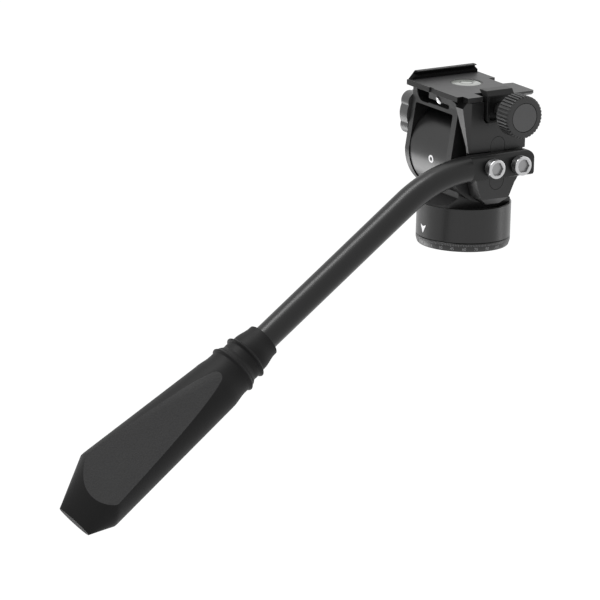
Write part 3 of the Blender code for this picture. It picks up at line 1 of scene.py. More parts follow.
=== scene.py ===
"""Visible pieces, finishes, light and camera of the fluid video head.

Lengths are in metres. +X is the operator's right, +Y the lens direction, +Z up.
"""
import math

import bmesh
import bpy
from mathutils import Matrix, Vector
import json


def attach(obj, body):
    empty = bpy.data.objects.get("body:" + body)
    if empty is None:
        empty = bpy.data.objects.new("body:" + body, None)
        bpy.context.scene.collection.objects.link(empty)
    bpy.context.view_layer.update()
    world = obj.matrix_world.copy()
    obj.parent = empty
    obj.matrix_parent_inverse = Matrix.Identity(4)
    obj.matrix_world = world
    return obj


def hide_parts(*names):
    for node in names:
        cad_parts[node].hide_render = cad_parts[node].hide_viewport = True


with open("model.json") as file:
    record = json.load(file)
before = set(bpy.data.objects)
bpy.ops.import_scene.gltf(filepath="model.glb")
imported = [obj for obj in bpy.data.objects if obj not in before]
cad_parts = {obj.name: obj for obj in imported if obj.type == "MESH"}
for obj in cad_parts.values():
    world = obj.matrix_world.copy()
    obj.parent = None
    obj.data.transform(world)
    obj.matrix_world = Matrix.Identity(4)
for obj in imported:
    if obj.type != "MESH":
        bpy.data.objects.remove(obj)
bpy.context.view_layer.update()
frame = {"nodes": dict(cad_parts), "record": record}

# Clearances, mesh fineness, angles of softened edges and how squarely a marked face looks one way
GAP = 0.0003
OVERRUN = 0.0020
WELD = 0.000001
PRINT_LIFT = 0.00002
ROUND_STEPS = 160
TURNED_STEPS = 96
SMALL_STEPS = 48
EDGE = 0.00035
SOFT_EDGE = 0.0006
FINE_EDGE = 0.00015
SHARP_ANGLE = math.radians(32)
ROUNDING_ANGLE = math.radians(28)
FACING_SHARE = 0.5

# Depths of the finishes' grain
METAL_GRAIN = 0.00002
MOULD_GRAIN = 0.00003
LATHE_LINES = 0.00001
GRIP_GRAIN = 0.00006
GRIP_STIPPLE = 0.00012

# Base disc and scale
BASE_RADIUS = 0.0250
BASE_SKIN = 0.00003
BASE_HEIGHT = 0.0047
BASE_FOOT_HEIGHT = 0.0028
BASE_FOOT_INSET = 0.0007
BASE_BORE = 0.0083
SCREW_CIRCLE = 0.0140
SCREW_HOLE_RADIUS = 0.0018
SCREW_HEAD_RADIUS = 0.0029
SCREW_HEAD_HEIGHT = 0.0018
SCREW_SINK = 0.0005
SCREW_LENGTH = 0.0070
SCREW_SOCKET_SHARE = 0.48
TICK_COUNT = 180
LONG_TICK_EVERY = 5
TICK_TOP = 0.0040
SHORT_TICK_BOTTOM = 0.0032
LONG_TICK_BOTTOM = 0.0029
TICK_WIDTH = 0.00014
NUMBER_COUNT = 24
NUMBER_STEP = 15
NUMBER_HEIGHT = 0.0016
NUMBER_FOOT = 0.0009
LETTER_SIZE_SHARE = 1.38

# Pan housing, drum and their marks
HOUSING_BOTTOM = 0.0050
HOUSING_TOP = 0.0230
HOUSING_FLOOR = 0.0205
HOUSING_RIM = 0.0235
CAVITY_RADIUS = 0.0220
CAVITY_TOP = 0.0148
NUT_POCKET_RADIUS = 0.0093
NUT_POCKET_TOP = 0.0174
NECK_FOOT_HALF = 0.0242
NECK_FOOT_TOP = 0.0231
NECK_RIDGE_HALF = 0.0140
NECK_RIDGE_HEIGHT = 0.0280
NECK_WAIST_HALF = 0.0138
NECK_WAIST_HEIGHT = 0.0330
NECK_LIMIT_RADIUS = 0.0242
TILT_HEIGHT = 0.0492
DRUM_RADIUS = 0.0229
DRUM_BORE = 0.0185
DRUM_LEFT = -0.0187
DRUM_RIGHT = 0.0147
DRUM_END_WALL = 0.0040
AXLE_BORE = 0.0063
DART_ANGLE = math.radians(-93.2)
DART_SHOULDER_HEIGHT = 0.0118
DART_NOTCH_HEIGHT = 0.0108
DART_TIP_HEIGHT = 0.0071
DART_HALF_WIDTH = 0.0026
ZERO_X = 0.0006
ZERO_HEIGHT = 0.0475
ZERO_OUTER = 0.00215
ZERO_INNER = 0.00115

# Tilt bracket
CHEEK_LEFT_OUTER = -0.0226
CHEEK_LEFT_INNER = -0.0190
CHEEK_RIGHT_INNER = 0.0150
CHEEK_RIGHT_OUTER = 0.0193
LOBE_RADIUS = 0.0235
CHEEK_TOP_HALF = 0.0195
CHEEK_SHOULDER = 0.0770
BRACKET_TOP = 0.0831
BRIDGE_BOTTOM = 0.0741
BRIDGE_TOP = 0.0755
SLAB_LEFT = -0.0080
SLAB_ROUND = 0.0022
CHEEK_FILLET = 0.0060
WINDOW_FILLET = 0.0012
BRACKET_CORNER = 0.0055
BRACKET_CORNER_TOP = 0.0810
SLOT_HEIGHT = 0.0772
SLOT_HALF = 0.00125
SLOT_RIGHT = 0.0109
SLOT_DEPTH = 0.0050
PIN_RADIUS = 0.0014
PIN_HALF_LENGTH = 0.0027
PIN_X = 0.0010
PIN_HEIGHT = 0.0791
PIN_INSET = 0.0003
PIN_SLANT = math.radians(40)
PIN_STEPS = 24
LOCK_BORE = 0.0028
TILT_LOCK_Y = -0.0106
TILT_LOCK_HEIGHT = 0.0665
PLATFORM_SCREW_X = 0.0050
PLATFORM_SCREW_Y = 0.0100
PLATFORM_SCREW_HOLE = 0.0030

# Platform, rail and level
PLATFORM_LEFT = -0.0218
PLATFORM_RIGHT = 0.0297
PLATFORM_REAR = -0.0244
PLATFORM_FRONT = 0.0220
PLATFORM_TOP = 0.0862
PLATFORM_BOTTOM = 0.0834
PLATFORM_FRONT_LEFT = 0.0201
CORNER_NOTCH_X = 0.0248
CORNER_NOTCH_Y = -0.0208
WING_EDGE = 0.0010
WING_SLOPE = 0.0028
WING_TIP = 0.0016
REAR_NOTCH_LEFT = -0.0012
REAR_NOTCH_RIGHT = 0.0028
REAR_NOTCH_DEPTH = 0.0008
FRONT_NOTCH_LEFT = -0.0042
FRONT_NOTCH_RIGHT = 0.0098
FRONT_NOTCH_DEPTH = 0.0060
JAW_SLOT_INNER = 0.0215
JAW_SLOT_REAR = -0.0112
JAW_SLOT_FRONT = 0.0084
RAIL_TOP = 0.0906
RAIL_REAR = -0.0195
RAIL_FRONT = 0.0183
RAIL_REAR_SLOPE = 0.0040
RAIL_FRONT_SLOPE = 0.0012
RAIL_FOOT_X = -0.0194
RAIL_LEDGE_X = -0.0187
RAIL_LEDGE_HEIGHT = 0.0879
RAIL_GROOVE_X = -0.0207
RAIL_GROOVE_LOW = 0.0889
RAIL_GROOVE_HIGH = 0.0896
RAIL_LIP_X = -0.0189
RAIL_LIP_UNDER = 0.0900
LEVEL_X = -0.0018
LEVEL_RADIUS = 0.0084
LEVEL_WALL = 0.0003
LEVEL_CUP_BOTTOM = 0.0842
LEVEL_FLOOR = 0.0847
LEVEL_GLASS_TOP = 0.0861
LEVEL_RING_RADIUS = 0.0036
LEVEL_RING_WIDTH = 0.00022
LIQUID_CLEAR_SHARE = 0.55
BUBBLE_RADIUS = 0.0029
BUBBLE_X = -0.0010
BUBBLE_Y = 0.0006

# Arm-mount plate and its inlay
PLATE_OUTER = 0.0297
PLATE_INNER = 0.0196
SLAB_INNER = 0.0200
PAD_HALF = 0.0120
PAD_BOTTOM = 0.0350
PLATE_REAR = -0.0190
PLATE_REAR_TOP = -0.0218
PLATE_REAR_TOP_HEIGHT = 0.0798
PLATE_POCKET_REAR = -0.0202
PLATE_FRONT = 0.0170
PLATE_STEP_HEIGHT = 0.0570
PLATE_CHAMFER_REAR = -0.0182
PLATE_CHAMFER_TURN = math.radians(49)
WEDGE_X = 0.0270
WEDGE_LOW = 0.0590
WEDGE_FOOT = 0.0515
LOBE_SHOULDER_HALF = 0.0165
LOBE_SHOULDER_HEIGHT = 0.0480
LOBE_FLANK_HALF = 0.0133
LOBE_FLANK_HEIGHT = 0.0395
LOBE_FOOT_HALF = 0.0100
LOBE_FOOT_HEIGHT = 0.0300
LOBE_FRONT_FLANK = 0.0119
LOBE_FRONT_FOOT = 0.0076
LOBE_BOTTOM_HALF = 0.0042
LOBE_BOTTOM = 0.0262
LOBE_CHAMFER = 0.0037
CHANNEL_BOTTOM = 0.0500
CHANNEL_TOP = 0.0560
CHANNEL_DEPTH = 0.0025
ARM_CENTRE_Y = -0.0006
INLAY_HALF_LENGTH = 0.0143
INLAY_HALF_WIDTH = 0.0044
INLAY_DEPTH = 0.0037
JAW_POCKET_FLOOR = 0.0232
JAW_POCKET_CLEARANCE = 0.0006

# Jaw, clamp knob and lock knobs
JAW_REAR = -0.0097
JAW_FRONT = 0.0072
JAW_INNER = 0.0265
JAW_OUTER = 0.0320
JAW_BOTTOM = 0.0720
JAW_SHOULDER = 0.0866
JAW_TOP = 0.0892
JAW_TOP_OUTER = 0.0303
JAW_LIP_X = 0.0240
JAW_LIP_THICKNESS = 0.0008
JAW_CORNER = 0.0022
JAW_RIM = 0.0014
JAW_RECESS = 0.0020
KNOB_Y = -0.0005
KNOB_HEIGHT = 0.0786
KNOB_NECK_RADIUS = 0.0038
KNOB_INNER = 0.0426
KNOB_FACE = 0.0531
KNOB_RADIUS = 0.0115
KNOB_RIBS = 36
KNOB_RIB_DEPTH = 0.0009
RIB_SHARES = (0.02, 0.44, 0.56, 0.90)
KNOB_EDGE = 0.0012
KNOB_CAP_RADIUS = 0.0078
KNOB_CAP_THICKNESS = 0.0012
CLAMP_BORE = 0.0023
GUIDE_BORE = 0.0016
GUIDE_SPOTS = (-0.0065, 0.0055)
GUIDE_HEIGHT = 0.0788
JAW_BORE_END = 0.0165
SPRING_BORE = 0.0027
SPRING_SEAT = 0.0201
LOCK_LOBES = 4
LOCK_LOBE_CIRCLE = 0.0092
LOCK_LOBE_RADIUS = 0.0050
LOCK_WAIST_RADIUS = 0.0122
LOCK_INNER_X = -0.0229
LOCK_OUTER_X = -0.0297
LOCK_STUD_END = -0.0266
PAN_LOCK_ANGLE = math.radians(145)
PAN_LOCK_HEIGHT = 0.0133
PAN_LOCK_RADIUS = 0.0070
PAN_LOCK_NECK_RADIUS = 0.0040
PAN_LOCK_START = 0.0253
PAN_LOCK_NECK_END = 0.0278
PAN_LOCK_END = 0.0358
PAN_LOCK_RIBS = 18
PAN_LOCK_RIB_DEPTH = 0.0005
PAN_LOCK_BORE = 0.0018
PAN_LOCK_BORE_END = 0.0321

# Handle bar, bolts and grip
TUBE_RADIUS = 0.0070
ARM_INNER = 0.0300
ARM_OUTER = 0.0370
ARM_CENTRE_X = 0.0335
ARM_FRONT = 0.0182
ARM_FLAT_REAR = -0.0225
ARM_TOP_CORNER = 0.0047
ARM_LOW_CORNER = 0.0025
ARM_TOP_ROUND_X = 0.0028
ARM_TOP_ROUND_Z = 0.0038
ARM_LOW_ROUND = 0.0014
HANDLE_DROP = math.radians(36.1)
HANDLE_BEND_RADIUS = 0.0750
HANDLE_CORNER_Y = -0.0415
COLLAR_DISTANCE = 0.1335
TUBE_IN_GRIP = 0.1000
STRAIGHT_STEPS = 12
BEND_STEPS = 40
BOLT_SPACING = 0.0084
BOLT_RADIUS = 0.0030
BOLT_HEAD_RADIUS = 0.0052
BOLT_HEAD_INNER = 0.0384
BOLT_FACE = 0.0424
BOLT_EDGE = 0.0007
BOLT_SOCKET_FLATS = 0.0064
BOLT_SOCKET_DEPTH = 0.0014
BOLT_SOCKET_FACE_SHARE = 0.9
BOLT_INNER_END = 0.0206
WASHER_RADIUS = 0.0048
WASHER_INNER = 0.0373
WASHER_OUTER = 0.0381
GRIP_LENGTH = 0.1445
GRIP_ROLL = math.radians(46)
COLLAR_RADIUS = 0.0096
COLLAR_LENGTH = 0.0107
COLLAR_FLARE_RADIUS = 0.0112
COLLAR_MOUTH = 0.0012
RIDGE_1_PLACE = 0.0140
RIDGE_1_RADIUS = 0.0131
RIDGE_2_PLACE = 0.0237
RIDGE_2_RADIUS = 0.0143
RIDGE_HALF_WIDTH = 0.0016
VALLEY_RADIUS = 0.0117
BODY_START = 0.0275
BODY_START_RADIUS = 0.0132
SWELL_PLACE = 0.0380
SWELL_RADIUS = 0.0145
BODY_WIDEST = 0.1200
BODY_WIDEST_RADIUS = 0.0198
BODY_WIDEST_OFFSET = 0.0036
GRIP_END_HALF_WIDTH = 0.0105
GRIP_END_HALF_DEPTH = 0.0025
GRIP_END_WIDTH_SLOPE = 0.43
GRIP_END_DEPTH_SLOPE = 0.71
FLAT_START_DISTANCE = 0.0141
FLAT_START_PLACE = 0.0356
FLAT_SLOPE = -0.0240
FLAT_MATCH_SHARE = 0.9999
GRIP_SIDES = 128
RINGS_PER_STEP = 8
GRIP_BODY_RINGS = 60

TILT_CENTRE = (0, 0, TILT_HEIGHT)
LEVEL_CENTRE = (LEVEL_X, 0, 0)
HANDLE_AXIS = Vector((0, -math.cos(HANDLE_DROP), -math.sin(HANDLE_DROP)))
HANDLE_UP = Vector((0, -math.sin(HANDLE_DROP), math.cos(HANDLE_DROP)))
HANDLE_CORNER = Vector((ARM_CENTRE_X, HANDLE_CORNER_Y, TILT_HEIGHT))
COLLAR_END = HANDLE_CORNER + HANDLE_AXIS * COLLAR_DISTANCE
FLAT_NORMAL = Vector((math.cos(GRIP_ROLL), 0, 0)) + HANDLE_UP * math.sin(GRIP_ROLL)
WIDE_DIRECTION = Vector((-math.sin(GRIP_ROLL), 0, 0)) + HANDLE_UP * math.cos(GRIP_ROLL)


class Value:
    """A socket of a material's node graph that can be added and multiplied."""

    def __init__(self, finish, socket):
        self.finish = finish
        self.socket = socket

    def maths(self, operation, first, second):
        """Combine two values with one maths node."""
        return self.finish.node("ShaderNodeMath", {"operation": operation}, {0: first, 1: second})

    def __add__(self, other):
        return self.maths("ADD", self, other)

    def __radd__(self, other):
        return self.maths("ADD", other, self)

    def __mul__(self, other):
        return self.maths("MULTIPLY", self, other)

    def __rmul__(self, other):
        return self.maths("MULTIPLY", other, self)


class Finish:
    """One surface finish: a material, its Principled shader and what varies over it."""

    def __init__(self, name, **settings):
        self.material = bpy.data.materials.new(name)
        self.material.use_nodes = True
        self.tree = self.material.node_tree
        self.shader = self.tree.nodes["Principled BSDF"]
        for label, value in settings.items():
            self.shader.inputs[label.replace("_", " ").title().replace("Ior", "IOR")].default_value = value
        self.place = self.node("ShaderNodeTexCoord", output="Object")

    def node(self, kind, settings=None, inputs=None, output=0):
        """Add a node: its type, its settings, then its inputs."""
        made = self.tree.nodes.new(kind)
        for label, value in (settings or {}).items():
            setattr(made, label, value)
        for label, value in (inputs or {}).items():
            if isinstance(value, Value):
                self.tree.links.new(value.socket, made.inputs[label])
            else:
                made.inputs[label].default_value = value
        return Value(self, made.outputs[output])

    def feed(self, label, value):
        """Lead a value into the shader."""
        self.tree.links.new(value.socket, self.shader.inputs[label])

    def stretched(self, along_x, along_y, along_z):
        """The object's own coordinates with each direction scaled."""
        return self.node("ShaderNodeVectorMath", {"operation": "MULTIPLY"},
                         {0: self.place, 1: (along_x, along_y, along_z)}, "Vector")

    def noise(self, scale, detail, where=None):
        """Soft random field from 0 to 1; scale counts its features in a metre."""
        return self.node("ShaderNodeTexNoise", None,
                         {"Vector": where or self.place, "Scale": scale, "Detail": detail})

    def cells(self, feature, scale, **more):
        """Distance field of small cells; a smooth feature takes a Smoothness too."""
        return self.node("ShaderNodeTexVoronoi", {"feature": feature},
                         {"Vector": self.place, "Scale": scale, **more}, "Distance")

    def colour(self, share, first, second):
        """Base colour that runs from the first to the second; 6, 7 and 2 are the mixer's colour sockets."""
        self.feed("Base Color", self.node("ShaderNodeMix", {"data_type": "RGBA"},
                                          {"Factor": share, 6: first, 7: second}, 2))

    def roughness(self, share, low, high):
        """Roughness that runs from low to high as the share runs from 0 to 1."""
        self.feed("Roughness", self.node("ShaderNodeMapRange", None,
                                         {"Value": share, "To Min": low, "To Max": high}))

    def relief(self, height, distance, strength):
        """Fine surface relief from a height field."""
        self.feed("Normal", self.node("ShaderNodeBump", None, {"Strength": strength, "Distance": distance,
                                                                "Height": height}, "Normal"))


def grey(level):
    """Neutral colour of one linear level."""
    return (level, level, level * 1.01, 1)


def anodised(name, level, rough, shine=0.50):
    """Black anodised aluminium: fine even grain, a faint mottle and no colour of its own."""
    finish = Finish(name, metallic=0.10, specular_ior_level=shine)
    mottle = finish.noise(260.0, 3.0)
    grain = finish.noise(5200.0, 1.0)
    finish.colour(mottle * 0.6 + grain * 0.4, grey(level * 0.86), grey(level * 1.14))
    finish.roughness(mottle, rough - 0.03, rough + 0.04)
    finish.relief(grain, METAL_GRAIN, 0.30)
    return finish.material


def bar_paint():
    """Smooth black paint of the handle bar, its tone and gloss varying slightly in soft waves."""
    finish = Finish("bar_paint", metallic=0.0, specular_ior_level=0.36)
    wave = finish.noise(120.0, 2.0)
    finish.colour(wave, grey(0.004), grey(0.006))
    finish.roughness(wave, 0.33, 0.37)
    return finish.material


def grip_skin():
    """Soft matt skin of the grip with a fine moulded grain."""
    finish = Finish("grip_skin", metallic=0.0, specular_ior_level=0.16)
    cells = finish.cells("SMOOTH_F1", 1900.0, Smoothness=0.6)
    rub = finish.noise(70.0, 3.0)
    finish.colour(rub, grey(0.006), grey(0.009))
    finish.roughness(rub, 0.50, 0.60)
    finish.relief(cells, GRIP_GRAIN, 0.35)
    return finish.material


def grip_stipple_painted_sheen():
    """Flat panels of the grip: a coarser stipple, and a base colour lighter than the skin's that is painted
    sheen.
    """
    finish = Finish("grip_stipple_painted_sheen", metallic=0.0, specular_ior_level=0.16)
    cells = finish.cells("F1", 1250.0)
    rub = finish.noise(90.0, 3.0)
    # Painted sheen: the panels' base colour is several times the skin's level
    finish.colour(cells * 0.7 + rub * 0.3, grey(0.040), grey(0.028))
    finish.roughness(rub, 0.54, 0.64)
    finish.relief(cells, GRIP_STIPPLE, 0.70)
    return finish.material


def moulded(name, level, rough, shine=0.28):
    """Moulded black plastic with a fine spark-eroded grain."""
    finish = Finish(name, metallic=0.0, specular_ior_level=shine)
    grain = finish.noise(3600.0, 2.0)
    drift = finish.noise(180.0, 2.0)
    finish.colour(drift, grey(level * 0.9), grey(level * 1.1))
    finish.roughness(drift, rough - 0.04, rough + 0.04)
    finish.relief(grain, MOULD_GRAIN, 0.35)
    return finish.material


def turned_steel(name, level, rough, strength):
    """Bright steel with fine lathe lines round the X direction and a few darker smudges."""
    finish = Finish(name, metallic=1.0)
    lines = finish.noise(900.0, 2.0, finish.stretched(6.0, 1.0, 1.0))
    smudge = finish.noise(300.0, 3.0)
    finish.colour(lines * 0.5 + smudge * 0.5, grey(level * 0.88), grey(level * 1.06))
    finish.roughness(smudge, rough - 0.04, rough + 0.06)
    finish.relief(lines, LATHE_LINES, strength)
    return finish.material


def warm_metal():
    """Bearing bronze, dull with oily patches."""
    finish = Finish("bearing_bronze", metallic=1.0)
    patch = finish.noise(420.0, 3.0)
    finish.colour(patch, (0.40, 0.25, 0.11, 1), (0.52, 0.35, 0.17, 1))
    finish.roughness(patch, 0.34, 0.50)
    return finish.material


def nylon():
    """Off-white nylon of the bearing washer."""
    finish = Finish("white_nylon", specular_ior_level=0.45)
    cloud = finish.noise(350.0, 2.0)
    finish.colour(cloud, (0.70, 0.69, 0.64, 1), (0.80, 0.79, 0.75, 1))
    finish.roughness(cloud, 0.42, 0.55)
    return finish.material


def level_liquid():
    """Pale grey-green liquid under clear glass, darker towards its rim."""
    finish = Finish("level_liquid", specular_ior_level=0.3, coat_weight=0.25, coat_roughness=0.08)
    centred = finish.node("ShaderNodeVectorMath", {"operation": "SUBTRACT"},
                          {0: finish.place, 1: (LEVEL_X, 0, LEVEL_GLASS_TOP)}, "Vector")
    reach = finish.node("ShaderNodeVectorMath", {"operation": "LENGTH"}, {0: centred}, "Value")
    cloud = finish.noise(160.0, 2.0)
    edge = finish.node("ShaderNodeMapRange", None, {"Value": reach, "From Max": LEVEL_RADIUS,
                                                    "From Min": LEVEL_RADIUS * LIQUID_CLEAR_SHARE})
    finish.colour(edge * 0.85 + cloud * 0.15, (0.25, 0.26, 0.245, 1), (0.16, 0.17, 0.155, 1))
    finish.roughness(cloud, 0.10, 0.18)
    return finish.material


def bubble_painted_reflection():
    """Upper skin of the bubble, lighter than the liquid as a painted reflection."""
    finish = Finish("bubble_painted_reflection", specular_ior_level=0.4, coat_weight=0.3, coat_roughness=0.06)
    cloud = finish.noise(200.0, 1.0)
    # Painted reflection: the bubble is set lighter than the liquid around it
    finish.colour(cloud, (0.27, 0.285, 0.265, 1), (0.31, 0.325, 0.30, 1))
    finish.roughness(cloud, 0.05, 0.10)
    return finish.material


def print_ink(name, level):
    """Pad-printed ink, slightly uneven where it covers thinly."""
    finish = Finish(name, specular_ior_level=0.3)
    cover = finish.noise(2600.0, 2.0)
    finish.colour(cover, grey(level * 0.86), grey(level))
    finish.roughness(cover, 0.50, 0.62)
    return finish.material


BODY_BLACK = anodised("body_anodised", 0.014, 0.38)
SHELL_BLACK = anodised("shell_anodised", 0.011, 0.30)
PLATFORM_BLACK = anodised("platform_anodised", 0.024, 0.42)
# Darker anodised tone of the rail, also used as painted shade on the platform's rear-facing faces
RAIL_AND_REAR_SHADE_BLACK = anodised("rail_and_rear_shade_anodised", 0.006, 0.40, 0.22)
JAW_BLACK = anodised("jaw_anodised", 0.007, 0.38, 0.28)
LOCK_BLACK = anodised("lock_anodised", 0.055, 0.34)
BAR_BLACK = bar_paint()
KNOB_BLACK = moulded("knob_plastic", 0.024, 0.46, 0.42)
CAP_BLACK = moulded("cap_plastic", 0.060, 0.42, 0.50)
# Near-black: painted shade on the rail's groove, the platform's corner notch and the side plate's rear top,
# and also the ring printed on the level's glass
PAINTED_SHADE_AND_PRINT_BLACK = moulded("painted_shade_and_print_black", 0.004, 0.80, 0.06)
GRIP_BLACK = grip_skin()
GRIP_PANEL_PAINTED_SHEEN = grip_stipple_painted_sheen()
POLISHED = turned_steel("polished_steel", 0.80, 0.17, 0.12)
SCREW_STEEL = turned_steel("screw_steel", 0.52, 0.30, 0.15)
WASHER_STEEL = turned_steel("washer_steel", 0.30, 0.38, 0.15)
PLAIN_STEEL = turned_steel("plain_steel", 0.48, 0.34, 0.25)
BRONZE = warm_metal()
NYLON = nylon()
LIQUID = level_liquid()
BUBBLE = bubble_painted_reflection()
WHITE_INK = print_ink("white_ink", 0.95)
SCALE_INK = print_ink("scale_ink", 0.30)


def in_scene(name, data):
    """New object in the scene for a mesh, a text, a camera or a lamp."""
    item = bpy.data.objects.new(name, data)
    bpy.context.scene.collection.objects.link(item)
    return item


def mesh_data(name, mesh):
    """Turn a bmesh into mesh data and let the bmesh go."""
    data = bpy.data.meshes.new(name)
    mesh.to_mesh(data)
    mesh.free()
    return data


def evaluated_mesh(item):
    """Bmesh of an object as its modifiers or its text leave it."""
    graph = bpy.context.evaluated_depsgraph_get()
    mesh = bmesh.new()
    mesh.from_mesh(item.evaluated_get(graph).to_mesh())
    return mesh


def face_out(mesh):
    """Turn every face of a closed shape outwards."""
    bmesh.ops.recalc_face_normals(mesh, faces=mesh.faces)
    return mesh


def everything(mesh):
    """All vertices, edges and faces, for an operator that takes them in one list."""
    return list(mesh.verts) + list(mesh.edges) + list(mesh.faces)


def of_kind(items, kind):
    """Elements of one kind among an operator's results."""
    return [item for item in items if isinstance(item, kind)]


def along(axis):
    """Turn that carries +Z onto the named axis."""
    if axis == "X":
        return Matrix.Rotation(math.pi / 2, 4, "Y")
    if axis == "Y":
        return Matrix.Rotation(-math.pi / 2, 4, "X")
    return Matrix.Identity(4)


def arc(centre, radius, start, end, steps=12):
    """Points on a circle's arc in a plane, both ends included."""
    points = []
    for step in range(steps + 1):
        angle = start + (end - start) * step / steps
        points.append((centre[0] + radius * math.cos(angle), centre[1] + radius * math.sin(angle)))
    return points


def turned(profile, centre=(0, 0, 0), axis="Z", steps=TURNED_STEPS):
    """Spin a (radius, place along the axis) profile into a closed solid."""
    mesh = bmesh.new()
    points = [mesh.verts.new((radius, 0, place)) for radius, place in profile]
    edges = [mesh.edges.new(pair) for pair in zip(points, points[1:])]
    if all(radius > 0 for radius, place in profile):
        edges.append(mesh.edges.new((points[-1], points[0])))
    bmesh.ops.spin(mesh, geom=points + edges, cent=(0, 0, 0), axis=(0, 0, 1),
                   angle=math.tau, steps=steps, use_merge=True)
    bmesh.ops.remove_doubles(mesh, verts=mesh.verts, dist=WELD)
    face_out(mesh)
    mesh.transform(Matrix.Translation(centre) @ along(axis))
    return mesh


def rod(radius, low, high, centre=(0, 0, 0), axis="Z", steps=SMALL_STEPS):
    """Plain round bar, used as a cutter or a core."""
    return turned([(0, low), (radius, low), (radius, high), (0, high)], centre, axis, steps)


def cross_rod(radius, low, high, y, height):
    """Plain round bar along X."""
    return rod(radius, low, high, (0, y, height), "X")


def ring(inner, outer, low, high, centre=(0, 0, 0), steps=TURNED_STEPS):
    """Upright ring with square edges."""
    return turned([(inner, low), (outer, low), (outer, high), (inner, high)], centre, "Z", steps)


def prism(outline, low, high, axis):
    """Extrude a flat outline: (y, z) along X, (x, z) along Y or (x, y) along Z."""
    mesh = bmesh.new()
    places = {"X": lambda a, b: (low, a, b), "Y": lambda a, b: (a, low, b), "Z": lambda a, b: (a, b, low)}
    face = mesh.faces.new([mesh.verts.new(places[axis](*point)) for point in outline])
    grown = bmesh.ops.extrude_face_region(mesh, geom=[face])
    step = {"X": (high - low, 0, 0), "Y": (0, high - low, 0), "Z": (0, 0, high - low)}[axis]
    bmesh.ops.translate(mesh, verts=of_kind(grown["geom"], bmesh.types.BMVert), vec=step)
    return face_out(mesh)


def block(x_low, x_high, y_low, y_high, z_low, z_high):
    """Square cutter between two corners."""
    return prism([(x_low, y_low), (x_high, y_low), (x_high, y_high), (x_low, y_high)], z_low, z_high, "Z")


def combine(mesh, operation, *tools):
    """Join tools to a bmesh, or cut them from it, one after the other."""
    for tool in tools:
        target = in_scene("target", mesh_data("target", mesh))
        scratch = in_scene("scratch", mesh_data("scratch", tool))
        step = target.modifiers.new(operation, "BOOLEAN")
        step.operation = operation
        step.solver = "EXACT"
        step.object = scratch
        mesh = evaluated_mesh(target)
        bmesh.ops.remove_doubles(mesh, verts=mesh.verts, dist=WELD)
        bmesh.ops.dissolve_degenerate(mesh, edges=mesh.edges, dist=WELD)
        bpy.data.objects.remove(target, do_unlink=True)
        bpy.data.objects.remove(scratch, do_unlink=True)
    return mesh


def cut(mesh, *tools):
    """Cut tools from a bmesh."""
    return combine(mesh, "DIFFERENCE", *tools)


def join(mesh, *tools):
    """Join tools to a bmesh."""
    return combine(mesh, "UNION", *tools)


def slice_off(mesh, point, normal):
    """Remove what lies beyond a plane and close the cut with a flat face."""
    line = bmesh.ops.bisect_plane(mesh, geom=everything(mesh), dist=WELD, plane_co=point, plane_no=normal,
                                  clear_outer=True)
    bmesh.ops.edgeloop_fill(mesh, edges=of_kind(line["geom_cut"], bmesh.types.BMEdge))
    return face_out(mesh)


def loft(loops):
    """Close a row of equal loops of points into a solid."""
    mesh = bmesh.new()
    rings = [[mesh.verts.new(point) for point in loop] for loop in loops]
    edges = []
    for points in rings:
        edges += [mesh.edges.new(pair) for pair in zip(points, points[1:] + points[:1])]
    bmesh.ops.bridge_loops(mesh, edges=edges)
    mesh.faces.new(rings[0])
    mesh.faces.new(rings[-1][::-1])
    return face_out(mesh)


def piece(name, mesh, body, finishes, replaced=(), edge=EDGE, segments=3):
    """Make a softened visible piece that rides its body; marked faces take the later finishes."""
    data = mesh_data(name, mesh)
    for finish in finishes:
        data.materials.append(finish)
    data.shade_smooth()
    data.set_sharp_from_angle(angle=SHARP_ANGLE)
    item = in_scene(name, data)
    if edge:
        rounding = item.modifiers.new("rounding", "BEVEL")
        rounding.width = edge
        rounding.segments = segments
        rounding.limit_method = "ANGLE"
        rounding.angle_limit = ROUNDING_ANGLE
        rounding.harden_normals = True
    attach(item, body)
    if replaced:
        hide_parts(*replaced)


def record_slot(node):
    """Material slot that the record gives a node."""
    for row in frame["record"]["subparts"]:
        if row["node"] == node:
            return row["material_slot"]
    return None


def mark_faces(mesh, index, chosen):
    """Give another of the piece's finishes to the faces that a test of a face and its middle chooses."""
    for face in mesh.faces:
        if chosen(face, face.calc_center_median()):
            face.material_index = index
    return mesh


def base_disc():
    """Scale disc with its soft edges and countersunk screw holes."""
    skin = BASE_RADIUS - BASE_SKIN
    foot = skin - BASE_FOOT_INSET
    disc = turned([(BASE_BORE, 0), (foot - EDGE, 0), (foot, EDGE), (skin, BASE_FOOT_HEIGHT),
                   (skin, BASE_HEIGHT - EDGE), (skin - EDGE, BASE_HEIGHT), (BASE_BORE, BASE_HEIGHT)],
                  steps=ROUND_STEPS)
    holes = []
    for place in screw_places():
        head = SCREW_HEAD_RADIUS + GAP
        holes.append(turned([(0, -OVERRUN), (head, -OVERRUN), (head, SCREW_SINK),
                             (SCREW_HOLE_RADIUS, SCREW_SINK + SCREW_HEAD_HEIGHT + GAP),
                             (SCREW_HOLE_RADIUS, BASE_HEIGHT + OVERRUN), (0, BASE_HEIGHT + OVERRUN)], place))
    return cut(disc, *holes)


def screw_places():
    """Centres of the three screws under the base."""
    return [(SCREW_CIRCLE * math.cos(turn), SCREW_CIRCLE * math.sin(turn), 0)
            for turn in (0, math.tau / 3, 2 * math.tau / 3)]


def base_screw(place):
    """Countersunk screw with a hexagonal recess."""
    low = SCREW_SINK
    body = turned([(0, low), (SCREW_HEAD_RADIUS, low), (SCREW_HEAD_RADIUS / 2, low + SCREW_HEAD_HEIGHT),
                   (SCREW_HEAD_RADIUS / 2, SCREW_LENGTH), (0, SCREW_LENGTH)], place)
    socket = rod(SCREW_HEAD_RADIUS * SCREW_SOCKET_SHARE, low - OVERRUN, low + SCREW_HEAD_HEIGHT / 2, place,
                 steps=6)
    return cut(body, socket)


